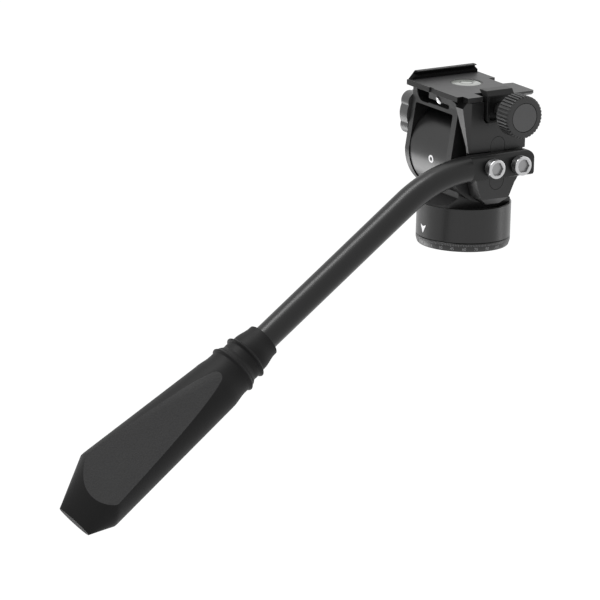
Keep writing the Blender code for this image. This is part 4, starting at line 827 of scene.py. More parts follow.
def scale_ticks():
    """Marks every two degrees round the disc, every fifth one longer."""
    marks = bmesh.new()
    for index in range(TICK_COUNT):
        long_tick = index % LONG_TICK_EVERY == 0
        bottom = LONG_TICK_BOTTOM if long_tick else SHORT_TICK_BOTTOM
        turn = math.tau * index / TICK_COUNT
        half = TICK_WIDTH / 2
        corners = [(-half, bottom), (half, bottom), (half, TICK_TOP), (-half, TICK_TOP)]
        spots = []
        for across, height in corners:
            angle = turn + across / BASE_RADIUS
            reach = BASE_RADIUS - PRINT_LIFT / 2
            spots.append(marks.verts.new((reach * math.cos(angle), reach * math.sin(angle), height)))
        marks.faces.new(spots)
    skin = bmesh.ops.extrude_face_region(marks, geom=marks.faces[:])
    for point in of_kind(skin["geom"], bmesh.types.BMVert):
        flat = Vector((point.co.x, point.co.y, 0)).normalized()
        point.co -= flat * PRINT_LIFT * 2
    return face_out(marks)


def lettering(words, height):
    """Mesh of a word in the plain built-in face, thin, centred and upright in the XZ plane."""
    curve = bpy.data.curves.new("lettering", "FONT")
    curve.body = words
    curve.size = height * LETTER_SIZE_SHARE
    curve.align_x = "CENTER"
    curve.extrude = PRINT_LIFT
    curve.resolution_u = 3
    item = in_scene("lettering", curve)
    mesh = evaluated_mesh(item)
    bpy.data.objects.remove(item, do_unlink=True)
    bmesh.ops.remove_doubles(mesh, verts=mesh.verts, dist=WELD)
    mesh.transform(Matrix.Rotation(math.pi / 2, 4, "X"))
    return mesh


def scale_numbers():
    """Numbers every fifteen degrees on the disc's taper, from 0 under the pointer."""
    whole = bmesh.new()
    for index in range(NUMBER_COUNT):
        word = lettering(str(index * NUMBER_STEP), NUMBER_HEIGHT)
        slope = BASE_FOOT_INSET / BASE_FOOT_HEIGHT
        for point in word.verts:
            height = NUMBER_FOOT + point.co.z
            reach = BASE_RADIUS - BASE_SKIN - slope * (BASE_FOOT_HEIGHT - height) - point.co.y
            turn = DART_ANGLE + math.tau * index / NUMBER_COUNT + point.co.x / BASE_RADIUS
            point.co = (reach * math.cos(turn), reach * math.sin(turn), height)
        data = mesh_data("word", word)
        whole.from_mesh(data)
        bpy.data.meshes.remove(data)
    return face_out(whole)


def housing_mesh():
    """Round housing, saddle and drum in one casting, hollow as the solid is."""
    shell = turned([(0, NUT_POCKET_TOP), (NUT_POCKET_RADIUS, NUT_POCKET_TOP),
                    (NUT_POCKET_RADIUS, CAVITY_TOP), (CAVITY_RADIUS, CAVITY_TOP),
                    (CAVITY_RADIUS, HOUSING_BOTTOM), (BASE_RADIUS, HOUSING_BOTTOM),
                    (BASE_RADIUS, HOUSING_TOP), (HOUSING_RIM, HOUSING_TOP),
                    (HOUSING_RIM, HOUSING_FLOOR), (0, HOUSING_FLOOR)], steps=ROUND_STEPS)
    foot = HOUSING_FLOOR - GAP
    neck = prism([(-NECK_FOOT_HALF, foot), (NECK_FOOT_HALF, foot), (NECK_FOOT_HALF, NECK_FOOT_TOP),
                  (NECK_RIDGE_HALF, NECK_RIDGE_HEIGHT), (NECK_WAIST_HALF, NECK_WAIST_HEIGHT),
                  (-NECK_WAIST_HALF, NECK_WAIST_HEIGHT), (-NECK_RIDGE_HALF, NECK_RIDGE_HEIGHT),
                  (-NECK_FOOT_HALF, NECK_FOOT_TOP)], DRUM_LEFT + GAP, DRUM_RIGHT - GAP, "X")
    limit = rod(NECK_LIMIT_RADIUS, foot - OVERRUN, TILT_HEIGHT, steps=ROUND_STEPS)
    neck = combine(neck, "INTERSECT", limit)
    drum = rod(DRUM_RADIUS, DRUM_LEFT, DRUM_RIGHT, TILT_CENTRE, "X", ROUND_STEPS)
    casting = join(shell, neck, drum)
    hollow = rod(DRUM_BORE, DRUM_LEFT + DRUM_END_WALL, DRUM_RIGHT + OVERRUN, TILT_CENTRE, "X", TURNED_STEPS)
    axle_bore = rod(AXLE_BORE, DRUM_LEFT - OVERRUN, DRUM_LEFT + DRUM_END_WALL + OVERRUN, TILT_CENTRE, "X")
    lock_bore = on_pan_lock(rod(PAN_LOCK_BORE, CAVITY_RADIUS - OVERRUN, BASE_RADIUS + OVERRUN))
    return cut(casting, hollow, axle_bore, lock_bore)


def on_pan_lock(mesh):
    """Carry a mesh built round +Z onto the pan lock's radial axis."""
    direction = Vector((math.cos(PAN_LOCK_ANGLE), math.sin(PAN_LOCK_ANGLE), 0))
    turn = direction.to_track_quat("Z", "Y").to_matrix().to_4x4()
    mesh.transform(Matrix.Translation((0, 0, PAN_LOCK_HEIGHT)) @ turn)
    return mesh


def pointer_dart():
    """White dart over the scale, bent round the housing."""
    half = DART_HALF_WIDTH
    dart = prism([(-half, DART_SHOULDER_HEIGHT), (0, DART_TIP_HEIGHT), (half, DART_SHOULDER_HEIGHT),
                  (0, DART_NOTCH_HEIGHT)], -PRINT_LIFT, PRINT_LIFT, "Y")
    for share in (-0.5, 0, 0.5):
        bmesh.ops.bisect_plane(dart, geom=everything(dart), dist=WELD, plane_co=(half * share, 0, 0),
                               plane_no=(1, 0, 0))
    for point in dart.verts:
        turn = DART_ANGLE + point.co.x / BASE_RADIUS
        reach = BASE_RADIUS - point.co.y
        point.co = (reach * math.cos(turn), reach * math.sin(turn), point.co.z)
    return face_out(dart)


def zero_mark():
    """White ring mark, bent round the drum's rear side."""
    mark = ring(ZERO_INNER, ZERO_OUTER, -PRINT_LIFT, PRINT_LIFT, steps=SMALL_STEPS)
    for point in mark.verts:
        turn = math.pi - (ZERO_HEIGHT - TILT_HEIGHT + point.co.y) / DRUM_RADIUS
        reach = DRUM_RADIUS + point.co.z
        point.co = (ZERO_X + point.co.x, reach * math.cos(turn), TILT_HEIGHT + reach * math.sin(turn))
    return face_out(mark)


def cheek_side():
    """Bracket seen along X: round lobe about the axis, slanted edges, square top."""
    lobe = arc((0, TILT_HEIGHT), LOBE_RADIUS, -math.pi, 0, SMALL_STEPS)
    return lobe + [(CHEEK_TOP_HALF, CHEEK_SHOULDER), (CHEEK_TOP_HALF, BRACKET_TOP),
                   (-CHEEK_TOP_HALF, BRACKET_TOP), (-CHEEK_TOP_HALF, CHEEK_SHOULDER)]


def bracket_mesh():
    """Cheeks, thin bridge and slab of the tilt bracket, with the slot and pin groove in its rear face."""
    low = TILT_HEIGHT - LOBE_RADIUS - OVERRUN
    left_window = CHEEK_LEFT_INNER + WINDOW_FILLET
    right_window = CHEEK_RIGHT_INNER - WINDOW_FILLET
    window_top = BRIDGE_BOTTOM - WINDOW_FILLET
    fillet_centre = (CHEEK_LEFT_INNER + CHEEK_FILLET, BRIDGE_TOP + CHEEK_FILLET)
    slab_corner = (SLAB_LEFT + SLAB_ROUND, BRACKET_TOP - SLAB_ROUND)
    corner = (CHEEK_RIGHT_OUTER - BRACKET_CORNER, BRACKET_CORNER_TOP - BRACKET_CORNER)
    front = [(CHEEK_LEFT_OUTER, low), (CHEEK_LEFT_INNER, low)]
    front += arc((left_window, window_top), WINDOW_FILLET, math.pi, math.pi / 2, 4)
    front += arc((right_window, window_top), WINDOW_FILLET, math.pi / 2, 0, 4)
    front += [(CHEEK_RIGHT_INNER, low), (CHEEK_RIGHT_OUTER, low)]
    front += arc(corner, BRACKET_CORNER, 0, math.pi / 2)
    front += [(corner[0], BRACKET_TOP)]
    front += arc(slab_corner, SLAB_ROUND, math.pi / 2, math.pi, 4)
    front += [(SLAB_LEFT, BRIDGE_TOP)]
    front += arc(fillet_centre, CHEEK_FILLET, math.pi * 1.5, math.pi, 8)
    front += [(CHEEK_LEFT_INNER, BRACKET_TOP), (CHEEK_LEFT_OUTER, BRACKET_TOP)]
    reach = LOBE_RADIUS + OVERRUN
    left = CHEEK_LEFT_OUTER - OVERRUN
    right = CHEEK_RIGHT_OUTER + OVERRUN
    body = combine(prism(front, -reach, reach, "Y"), "INTERSECT", prism(cheek_side(), left, right, "X"))
    slot_start = SLAB_LEFT - OVERRUN
    slot = [(slot_start, SLOT_HEIGHT + SLOT_HALF), (slot_start, SLOT_HEIGHT - SLOT_HALF)]
    slot += arc((SLOT_RIGHT - SLOT_HALF, SLOT_HEIGHT), SLOT_HALF, -math.pi / 2, math.pi / 2)
    cuts = [prism(slot, -CHEEK_TOP_HALF - OVERRUN, -CHEEK_TOP_HALF + SLOT_DEPTH, "Y"), stop_pin(GAP / 2),
            cross_rod(LOCK_BORE, left, CHEEK_LEFT_INNER + OVERRUN, TILT_LOCK_Y, TILT_LOCK_HEIGHT),
            cross_rod(BOLT_RADIUS + OVERRUN / 2, left, right, 0, TILT_HEIGHT),
            cross_rod(CLAMP_BORE, JAW_BORE_END, right, KNOB_Y, KNOB_HEIGHT)]
    cuts += [cross_rod(GUIDE_BORE, JAW_BORE_END, right, y, GUIDE_HEIGHT) for y in GUIDE_SPOTS]
    for side in (-1, 1):
        cuts.append(rod(PLATFORM_SCREW_HOLE, BRIDGE_BOTTOM - OVERRUN, BRIDGE_BOTTOM + OVERRUN,
                        (PLATFORM_SCREW_X, side * PLATFORM_SCREW_Y, 0)))
    return cut(body, *cuts)


def stop_pin(clearance):
    """Barrel-shaped pin on its slanted axis, or the groove for it when given a clearance."""
    half = PIN_HALF_LENGTH + clearance
    turns = [math.pi * (step / PIN_STEPS - 0.5) for step in range(1, PIN_STEPS)]
    barrel = [((PIN_RADIUS + clearance) * math.cos(turn), half * math.sin(turn)) for turn in turns]
    pin = turned([(0, -half)] + barrel + [(0, half)], steps=SMALL_STEPS)
    turn = Matrix.Rotation(math.pi / 2 + PIN_SLANT, 4, "Y")
    pin.transform(Matrix.Translation((PIN_X, -CHEEK_TOP_HALF + PIN_INSET, PIN_HEIGHT)) @ turn)
    return pin


def platform_mesh():
    """Top plate with its notches, jaw slot and level pocket, and the fixed rail with its grooves."""
    outline = [(PLATFORM_LEFT, PLATFORM_REAR), (REAR_NOTCH_LEFT, PLATFORM_REAR),
               (REAR_NOTCH_LEFT, PLATFORM_REAR + REAR_NOTCH_DEPTH),
               (REAR_NOTCH_RIGHT, PLATFORM_REAR + REAR_NOTCH_DEPTH), (REAR_NOTCH_RIGHT, PLATFORM_REAR),
               (CORNER_NOTCH_X, PLATFORM_REAR), (CORNER_NOTCH_X, CORNER_NOTCH_Y),
               (PLATFORM_RIGHT, CORNER_NOTCH_Y), (PLATFORM_RIGHT, JAW_SLOT_REAR),
               (JAW_SLOT_INNER, JAW_SLOT_REAR), (JAW_SLOT_INNER, JAW_SLOT_FRONT),
               (PLATFORM_RIGHT, JAW_SLOT_FRONT)]
    outline += arc((PLATFORM_RIGHT - WING_TIP, PLATFORM_FRONT - WING_TIP), WING_TIP, 0, math.pi / 2, 8)
    outline += [(FRONT_NOTCH_RIGHT, PLATFORM_FRONT),
                (FRONT_NOTCH_RIGHT - REAR_NOTCH_DEPTH, PLATFORM_FRONT - FRONT_NOTCH_DEPTH),
                (FRONT_NOTCH_LEFT, PLATFORM_FRONT - FRONT_NOTCH_DEPTH),
                (FRONT_NOTCH_LEFT, PLATFORM_FRONT_LEFT), (PLATFORM_LEFT, PLATFORM_FRONT_LEFT)]
    plate = prism(outline, PLATFORM_BOTTOM, PLATFORM_TOP, "Z")
    beyond = PLATFORM_RIGHT + OVERRUN
    below = PLATFORM_BOTTOM - OVERRUN
    slope_foot = PLATFORM_RIGHT - WING_SLOPE
    wing_edge = PLATFORM_TOP - WING_EDGE
    undercut = prism([(slope_foot, below), (slope_foot, PLATFORM_BOTTOM), (PLATFORM_RIGHT, wing_edge),
                      (beyond, wing_edge), (beyond, below)],
                     JAW_SLOT_FRONT + GAP, PLATFORM_FRONT + OVERRUN, "Y")
    foot = PLATFORM_TOP - GAP
    rail = prism([(PLATFORM_LEFT, foot), (RAIL_FOOT_X, foot), (RAIL_LEDGE_X, RAIL_LEDGE_HEIGHT),
                  (RAIL_GROOVE_X, RAIL_GROOVE_LOW), (RAIL_GROOVE_X, RAIL_GROOVE_HIGH),
                  (RAIL_LIP_X, RAIL_LIP_UNDER), (RAIL_LIP_X, RAIL_TOP), (PLATFORM_LEFT, RAIL_TOP)],
                 RAIL_REAR - RAIL_REAR_SLOPE, RAIL_FRONT + RAIL_FRONT_SLOPE, "Y")
    rise = RAIL_TOP - PLATFORM_TOP
    slice_off(rail, (0, RAIL_REAR, RAIL_TOP), (0, -rise, RAIL_REAR_SLOPE))
    slice_off(rail, (0, RAIL_FRONT, RAIL_TOP), (0, rise, RAIL_FRONT_SLOPE))
    pocket = rod(LEVEL_RADIUS + GAP / 2, LEVEL_CUP_BOTTOM - GAP, PLATFORM_TOP + OVERRUN, LEVEL_CENTRE,
                 steps=TURNED_STEPS)
    whole = cut(join(plate, rail), undercut, pocket)
    # The rail takes its darker tone; every rear-facing face takes it too, as painted shade
    mark_faces(whole, 2, lambda face, middle: middle.z > PLATFORM_TOP + GAP or face.normal.y < -FACING_SHARE)
    # Painted shade: the faces inside the rail's groove take the near-black finish
    mark_faces(whole, 1, lambda face, middle: RAIL_LEDGE_HEIGHT < middle.z < RAIL_LIP_UNDER
               and middle.x > RAIL_GROOVE_X - GAP)
    # Painted shade: the side faces of the platform's rear corner notch take the near-black finish
    return mark_faces(whole, 1, lambda face, middle: middle.x > CORNER_NOTCH_X - GAP
                      and middle.y < CORNER_NOTCH_Y + GAP and abs(face.normal.z) < FACING_SHARE)


def level_cup():
    """Black cup that holds the level."""
    inner = LEVEL_RADIUS - LEVEL_WALL
    return turned([(0, LEVEL_CUP_BOTTOM), (LEVEL_RADIUS, LEVEL_CUP_BOTTOM), (LEVEL_RADIUS, PLATFORM_TOP),
                   (inner, PLATFORM_TOP), (inner, LEVEL_FLOOR), (0, LEVEL_FLOOR)], LEVEL_CENTRE)


def level_vial():
    """Domed glass with its liquid."""
    radius = LEVEL_RADIUS - LEVEL_WALL - GAP / 3
    dome = [(radius * across, LEVEL_GLASS_TOP - GAP + GAP * upward)
            for across, upward in arc((0, 0), 1, 0, math.pi / 2, 8)[:-1]]
    return turned([(0, LEVEL_FLOOR + GAP), (radius, LEVEL_FLOOR + GAP)] + dome + [(0, LEVEL_GLASS_TOP)],
                  LEVEL_CENTRE)


def level_ring():
    """Fine black circle printed on the glass."""
    return ring(LEVEL_RING_RADIUS - LEVEL_RING_WIDTH, LEVEL_RING_RADIUS, LEVEL_GLASS_TOP - GAP / 4,
                LEVEL_GLASS_TOP + PRINT_LIFT, LEVEL_CENTRE)


def level_bubble():
    """Flat bubble just under the glass, a little off centre."""
    low = LEVEL_GLASS_TOP - GAP
    high = LEVEL_GLASS_TOP + PRINT_LIFT / 2
    return turned([(0, low), (BUBBLE_RADIUS, low), (BUBBLE_RADIUS, high - GAP / 4),
                   (BUBBLE_RADIUS - GAP, high), (0, high)], (LEVEL_X + BUBBLE_X, BUBBLE_Y, 0))


def plate_side():
    """Arm-mount plate seen along X, from its rear top corner round to the front."""
    return [(PLATE_POCKET_REAR, BRACKET_TOP), (PLATE_REAR_TOP, PLATE_REAR_TOP_HEIGHT),
            (PLATE_REAR, PLATE_STEP_HEIGHT), (-LOBE_SHOULDER_HALF, LOBE_SHOULDER_HEIGHT),
            (-LOBE_FLANK_HALF, LOBE_FLANK_HEIGHT), (-LOBE_FOOT_HALF, LOBE_FOOT_HEIGHT),
            (-LOBE_BOTTOM_HALF, LOBE_BOTTOM), (LOBE_BOTTOM_HALF, LOBE_BOTTOM),
            (LOBE_FRONT_FOOT, LOBE_FOOT_HEIGHT), (LOBE_FRONT_FLANK, LOBE_FLANK_HEIGHT),
            (LOBE_SHOULDER_HALF, LOBE_SHOULDER_HEIGHT), (PLATE_FRONT, PLATE_STEP_HEIGHT),
            (PLATE_FRONT, BRACKET_TOP)]


def stadium(half_width, half_length, low, high):
    """Upright stadium shape along X, centred on the arm's seat."""
    reach = half_length - half_width
    outline = arc((ARM_CENTRE_Y, TILT_HEIGHT + reach), half_width, 0, math.pi, 20)
    outline += arc((ARM_CENTRE_Y, TILT_HEIGHT - reach), half_width, math.pi, math.tau, 20)
    return prism(outline, low, high, "X")


def plate_mesh():
    """Arm-mount plate with its pad, chamfers, arm channel, jaw pocket and inlay pocket."""
    slab = prism(plate_side(), SLAB_INNER, PLATE_OUTER, "X")
    chamfer_normal = (math.sin(PLATE_CHAMFER_TURN), -math.cos(PLATE_CHAMFER_TURN), 0)
    slice_off(slab, (PLATE_OUTER, PLATE_CHAMFER_REAR, 0), chamfer_normal)
    slice_off(slab, (PLATE_OUTER, 0, LOBE_BOTTOM + LOBE_CHAMFER), (1, 0, -1))
    beyond = SLAB_INNER - OVERRUN
    outside = PLATE_OUTER + OVERRUN
    wedge = prism([(beyond, PLATE_REAR_TOP_HEIGHT), (SLAB_INNER, PLATE_REAR_TOP_HEIGHT),
                   (WEDGE_X, WEDGE_LOW), (WEDGE_X, WEDGE_FOOT), (beyond, WEDGE_FOOT)],
                  PLATE_REAR_TOP - OVERRUN, -PAD_HALF - GAP, "Y")
    slab = cut(slab, wedge)
    pad = block(PLATE_INNER, SLAB_INNER + GAP, -PAD_HALF, PAD_HALF, PAD_BOTTOM, BRACKET_TOP)
    channel = block(PLATE_OUTER - CHANNEL_DEPTH, outside, PLATE_REAR_TOP - OVERRUN, PLATE_FRONT + OVERRUN,
                    CHANNEL_BOTTOM, CHANNEL_TOP)
    pocket = prism(jaw_side(JAW_POCKET_CLEARANCE, BRACKET_TOP + OVERRUN), JAW_POCKET_FLOOR, outside, "X")
    inlay = stadium(INLAY_HALF_WIDTH + FINE_EDGE, INLAY_HALF_LENGTH + FINE_EDGE,
                    PLATE_OUTER - INLAY_DEPTH - GAP, outside)
    bores = [cross_rod(CLAMP_BORE, JAW_BORE_END, PLATE_OUTER, KNOB_Y, KNOB_HEIGHT)]
    for y in GUIDE_SPOTS:
        bores.append(turned([(0, JAW_BORE_END), (GUIDE_BORE, JAW_BORE_END), (GUIDE_BORE, SPRING_SEAT),
                             (SPRING_BORE, SPRING_SEAT), (SPRING_BORE, PLATE_OUTER), (0, PLATE_OUTER)],
                            (0, y, GUIDE_HEIGHT), "X"))
    whole = cut(join(slab, pad), channel, pocket, inlay, *bores)
    # Painted shade: the rear top faces behind the pocket's rear edge take the near-black finish
    return mark_faces(whole, 1, lambda face, middle: middle.z > PLATE_REAR_TOP_HEIGHT
                      and middle.y < PLATE_POCKET_REAR and abs(face.normal.x) < FACING_SHARE)


def jaw_side(clearance, top):
    """Jaw seen along X with rounded lower corners, grown by a clearance."""
    radius = JAW_CORNER + clearance
    low = JAW_BOTTOM + JAW_CORNER
    outline = [(JAW_FRONT + clearance, top), (JAW_REAR - clearance, top)]
    outline += arc((JAW_REAR + JAW_CORNER, low), radius, math.pi, math.pi * 1.5, 8)
    outline += arc((JAW_FRONT - JAW_CORNER, low), radius, -math.pi / 2, 0, 8)
    return outline


def jaw_mesh():
    """Movable jaw: upright plate with a recessed outer face and an undercut lip."""
    undercut = JAW_TOP - JAW_LIP_THICKNESS
    body = prism([(JAW_INNER, JAW_BOTTOM), (JAW_OUTER, JAW_BOTTOM), (JAW_OUTER, JAW_SHOULDER),
                  (JAW_TOP_OUTER, JAW_TOP), (JAW_LIP_X, JAW_TOP), (JAW_LIP_X, undercut),
                  (JAW_INNER, JAW_SHOULDER)], JAW_REAR, JAW_FRONT, "Y")
    side_view = prism(jaw_side(0, JAW_TOP + OVERRUN), JAW_LIP_X - OVERRUN, JAW_OUTER + OVERRUN, "X")
    body = combine(body, "INTERSECT", side_view)
    rim = JAW_RIM
    inner_corner = JAW_CORNER - rim / 2
    recess_low = JAW_BOTTOM + rim + inner_corner
    hollow = [(JAW_FRONT - rim, JAW_SHOULDER - rim), (JAW_REAR + rim, JAW_SHOULDER - rim)]
    hollow += arc((JAW_REAR + rim + inner_corner, recess_low), inner_corner, math.pi, math.pi * 1.5, 6)
    hollow += arc((JAW_FRONT - rim - inner_corner, recess_low), inner_corner, -math.pi / 2, 0, 6)
    recess = prism(hollow, JAW_OUTER - JAW_RECESS, JAW_OUTER + OVERRUN, "X")
    bore = cross_rod(CLAMP_BORE, JAW_INNER - OVERRUN, JAW_OUTER + OVERRUN, KNOB_Y, KNOB_HEIGHT)
    return cut(body, recess, bore)


def ribbed_disc(radius, depth, count, low, high, edge, edge_steps):
    """Upright knob disc with flat-topped ribs, slanted flanks and both rims rounded."""
    outline = []
    for index in range(count):
        for share, reach in zip(RIB_SHARES, (radius, radius, radius - depth, radius - depth)):
            turn = math.tau * (index + share) / count
            outline.append((reach * math.cos(turn), reach * math.sin(turn)))
    limit = turned([(0, low)] + arc((radius - edge, low + edge), edge, -math.pi / 2, 0, edge_steps)
                   + arc((radius - edge, high - edge), edge, 0, math.pi / 2, edge_steps) + [(0, high)])
    return combine(prism(outline, low, high, "Z"), "INTERSECT", limit)


def on_clamp_screw(mesh):
    """Carry a mesh built round +Z onto the clamp screw's axis."""
    mesh.transform(Matrix.Translation((0, KNOB_Y, KNOB_HEIGHT)) @ along("X"))
    return mesh


def clamp_knob_mesh():
    """Ribbed clamp knob with rounded rims, its neck and the seat of its cap."""
    neck_start = JAW_OUTER - JAW_RECESS + GAP
    disc = ribbed_disc(KNOB_RADIUS, KNOB_RIB_DEPTH, KNOB_RIBS, KNOB_INNER, KNOB_FACE, KNOB_EDGE, 6)
    neck = rod(KNOB_NECK_RADIUS, neck_start, KNOB_INNER + OVERRUN)
    seat = rod(KNOB_CAP_RADIUS + FINE_EDGE, KNOB_FACE - KNOB_CAP_THICKNESS - GAP, KNOB_FACE + OVERRUN,
               steps=TURNED_STEPS)
    bore = rod(CLAMP_BORE, neck_start - OVERRUN, KNOB_INNER + KNOB_NECK_RADIUS)
    return on_clamp_screw(cut(join(disc, neck), seat, bore))


def knob_cap_mesh():
    """Flat cap in the knob's face, a fine ring gap smaller than its seat."""
    return on_clamp_screw(rod(KNOB_CAP_RADIUS - FINE_EDGE, KNOB_FACE - KNOB_CAP_THICKNESS, KNOB_FACE,
                              steps=TURNED_STEPS))


def tilt_lock_mesh():
    """Four-lobed knob with a round middle and the bore of its stud."""
    body = rod(LOCK_WAIST_RADIUS, LOCK_OUTER_X, LOCK_INNER_X, (0, TILT_LOCK_Y, TILT_LOCK_HEIGHT), "X",
               TURNED_STEPS)
    lobes = []
    for index in range(LOCK_LOBES):
        turn = math.tau * (index + 0.5) / LOCK_LOBES
        lobes.append(cross_rod(LOCK_LOBE_RADIUS, LOCK_OUTER_X, LOCK_INNER_X,
                               TILT_LOCK_Y + LOCK_LOBE_CIRCLE * math.cos(turn),
                               TILT_LOCK_HEIGHT + LOCK_LOBE_CIRCLE * math.sin(turn)))
    bore = cross_rod(LOCK_BORE, LOCK_STUD_END, CHEEK_LEFT_OUTER + OVERRUN, TILT_LOCK_Y, TILT_LOCK_HEIGHT)
    return cut(join(body, *lobes), bore)


def pan_lock_mesh():
    """Small ribbed knob on the housing's far side."""
    disc = ribbed_disc(PAN_LOCK_RADIUS, PAN_LOCK_RIB_DEPTH, PAN_LOCK_RIBS, PAN_LOCK_NECK_END, PAN_LOCK_END,
                       SOFT_EDGE, 4)
    neck = rod(PAN_LOCK_NECK_RADIUS, PAN_LOCK_START, PAN_LOCK_NECK_END + OVERRUN)
    bore = rod(PAN_LOCK_BORE, PAN_LOCK_START - OVERRUN, PAN_LOCK_BORE_END)
    return on_pan_lock(cut(join(disc, neck), bore))


def bar_path():
    """Centre line of the handle bar, from the arm's front end into the grip."""
    tangent = HANDLE_BEND_RADIUS * math.tan(HANDLE_DROP / 2)
    centre = HANDLE_CORNER + Vector((0, tangent, -HANDLE_BEND_RADIUS))
    points = [Vector((ARM_CENTRE_X, ARM_FRONT, TILT_HEIGHT))]
    for step in range(BEND_STEPS + 1):
        turn = HANDLE_DROP * step / BEND_STEPS
        points.append(centre + HANDLE_BEND_RADIUS * Vector((0, -math.sin(turn), math.cos(turn))))
    end = COLLAR_END + HANDLE_AXIS * TUBE_IN_GRIP
    return points + [points[-1].lerp(end, step / STRAIGHT_STEPS) for step in range(1, STRAIGHT_STEPS + 1)]


def flat_side(low, high, reach):
    """What the flattened end's outer side leaves off, seen along Y."""
    top = TILT_HEIGHT + TUBE_RADIUS - ARM_TOP_ROUND_Z
    top_round = [(ARM_OUTER - ARM_TOP_ROUND_X * (1 - across), top + ARM_TOP_ROUND_Z * upward)
                 for across, upward in arc((0, 0), 1, 0, math.pi / 2)]
    low_round = arc((ARM_OUTER - ARM_LOW_ROUND, TILT_HEIGHT - TUBE_RADIUS + ARM_LOW_ROUND), ARM_LOW_ROUND,
                    -math.pi / 2, 0, 6)
    beyond = ARM_OUTER + reach
    return ([(low_round[0][0], low)] + low_round + top_round
            + [(top_round[-1][0], high), (beyond, high), (beyond, low)])


def bar_mesh():
    """Bent round bar with its end pressed flat and its corners rounded."""
    points = bar_path()
    outward = Vector((1, 0, 0))
    turns = [math.tau * (step + 0.5) / SMALL_STEPS for step in range(SMALL_STEPS)]
    loops = []
    for index, point in enumerate(points):
        before = points[max(index - 1, 0)]
        after = points[min(index + 1, len(points) - 1)]
        upward = (after - before).normalized().cross(outward)
        loops.append([point + TUBE_RADIUS * (outward * math.cos(turn) + upward * math.sin(turn))
                      for turn in turns])
    reach = TUBE_RADIUS + OVERRUN
    low = TILT_HEIGHT - reach
    high = TILT_HEIGHT + reach
    cuts = [prism(flat_side(low, high, reach), ARM_FLAT_REAR, ARM_FRONT + OVERRUN, "Y"),
            block(ARM_INNER - reach, ARM_INNER, ARM_FLAT_REAR, ARM_FRONT + OVERRUN, low, high)]
    for side, corner in ((-1, ARM_LOW_CORNER), (1, ARM_TOP_CORNER)):
        corner_z = TILT_HEIGHT + side * (TUBE_RADIUS - corner)
        corner_y = ARM_FRONT - corner
        far = ARM_FRONT + OVERRUN
        outline = arc((corner_y, corner_z), corner, 0, side * math.pi / 2)
        edge_z = TILT_HEIGHT + side * reach
        outline += [(corner_y, edge_z), (far, edge_z), (far, corner_z)]
        cuts.append(prism(outline, ARM_INNER - reach, ARM_OUTER + reach, "X"))
    return cut(loft(loops), *cuts)


def bolt_mesh(place):
    """Socket-head screw with a rounded rim, a hexagonal recess and a chamfered lead-in."""
    rim = BOLT_HEAD_RADIUS - BOLT_EDGE
    head = arc((rim, BOLT_FACE - BOLT_EDGE), BOLT_EDGE, 0, math.pi / 2, 6)
    body = turned([(0, BOLT_INNER_END), (BOLT_RADIUS, BOLT_INNER_END), (BOLT_RADIUS, BOLT_HEAD_INNER),
                   (BOLT_HEAD_RADIUS - FINE_EDGE, BOLT_HEAD_INNER),
                   (BOLT_HEAD_RADIUS, BOLT_HEAD_INNER + FINE_EDGE)] + head + [(0, BOLT_FACE)], place, "X")
    corner = BOLT_SOCKET_FLATS / math.sqrt(3)
    floor = BOLT_FACE - BOLT_SOCKET_DEPTH
    socket = rod(corner, floor, BOLT_FACE + OVERRUN, steps=6)
    socket.transform(Matrix.Translation(place) @ along("X") @ Matrix.Rotation(math.pi / 6, 4, "Z"))
    lead = corner + FINE_EDGE
    countersink = turned([(0, BOLT_FACE - GAP), (corner - GAP, BOLT_FACE - GAP),
                          (lead, BOLT_FACE + FINE_EDGE), (0, BOLT_FACE + FINE_EDGE)], place, "X")
    recess = corner * BOLT_SOCKET_FACE_SHARE
    return mark_faces(cut(body, socket, countersink), 1, lambda face, middle: middle.x > floor - GAP
                      and math.hypot(middle.y - place[1], middle.z - place[2]) < recess)


def washer_mesh(place):
    """Plain washer with broken edges."""
    inner = BOLT_RADIUS + GAP
    edge = FINE_EDGE
    return turned([(inner, WASHER_INNER), (WASHER_RADIUS - edge, WASHER_INNER),
                   (WASHER_RADIUS, WASHER_INNER + edge), (WASHER_RADIUS, WASHER_OUTER - edge),
                   (WASHER_RADIUS - edge, WASHER_OUTER), (inner, WASHER_OUTER)], place, "X")


def grip_reach(turn, place, radius, offset):
    """Grip's reach in one direction: an off-centre circle, held inside the end taper."""
    cross = (math.cos(turn), math.sin(turn))
    toward = offset * cross[1]
    circle = toward + math.sqrt(toward * toward - offset * offset + radius * radius)
    left = GRIP_LENGTH - place
    width = GRIP_END_HALF_WIDTH + GRIP_END_WIDTH_SLOPE * left
    depth = GRIP_END_HALF_DEPTH + GRIP_END_DEPTH_SLOPE * left
    return min(circle, 1 / math.hypot(cross[0] / depth, cross[1] / width))


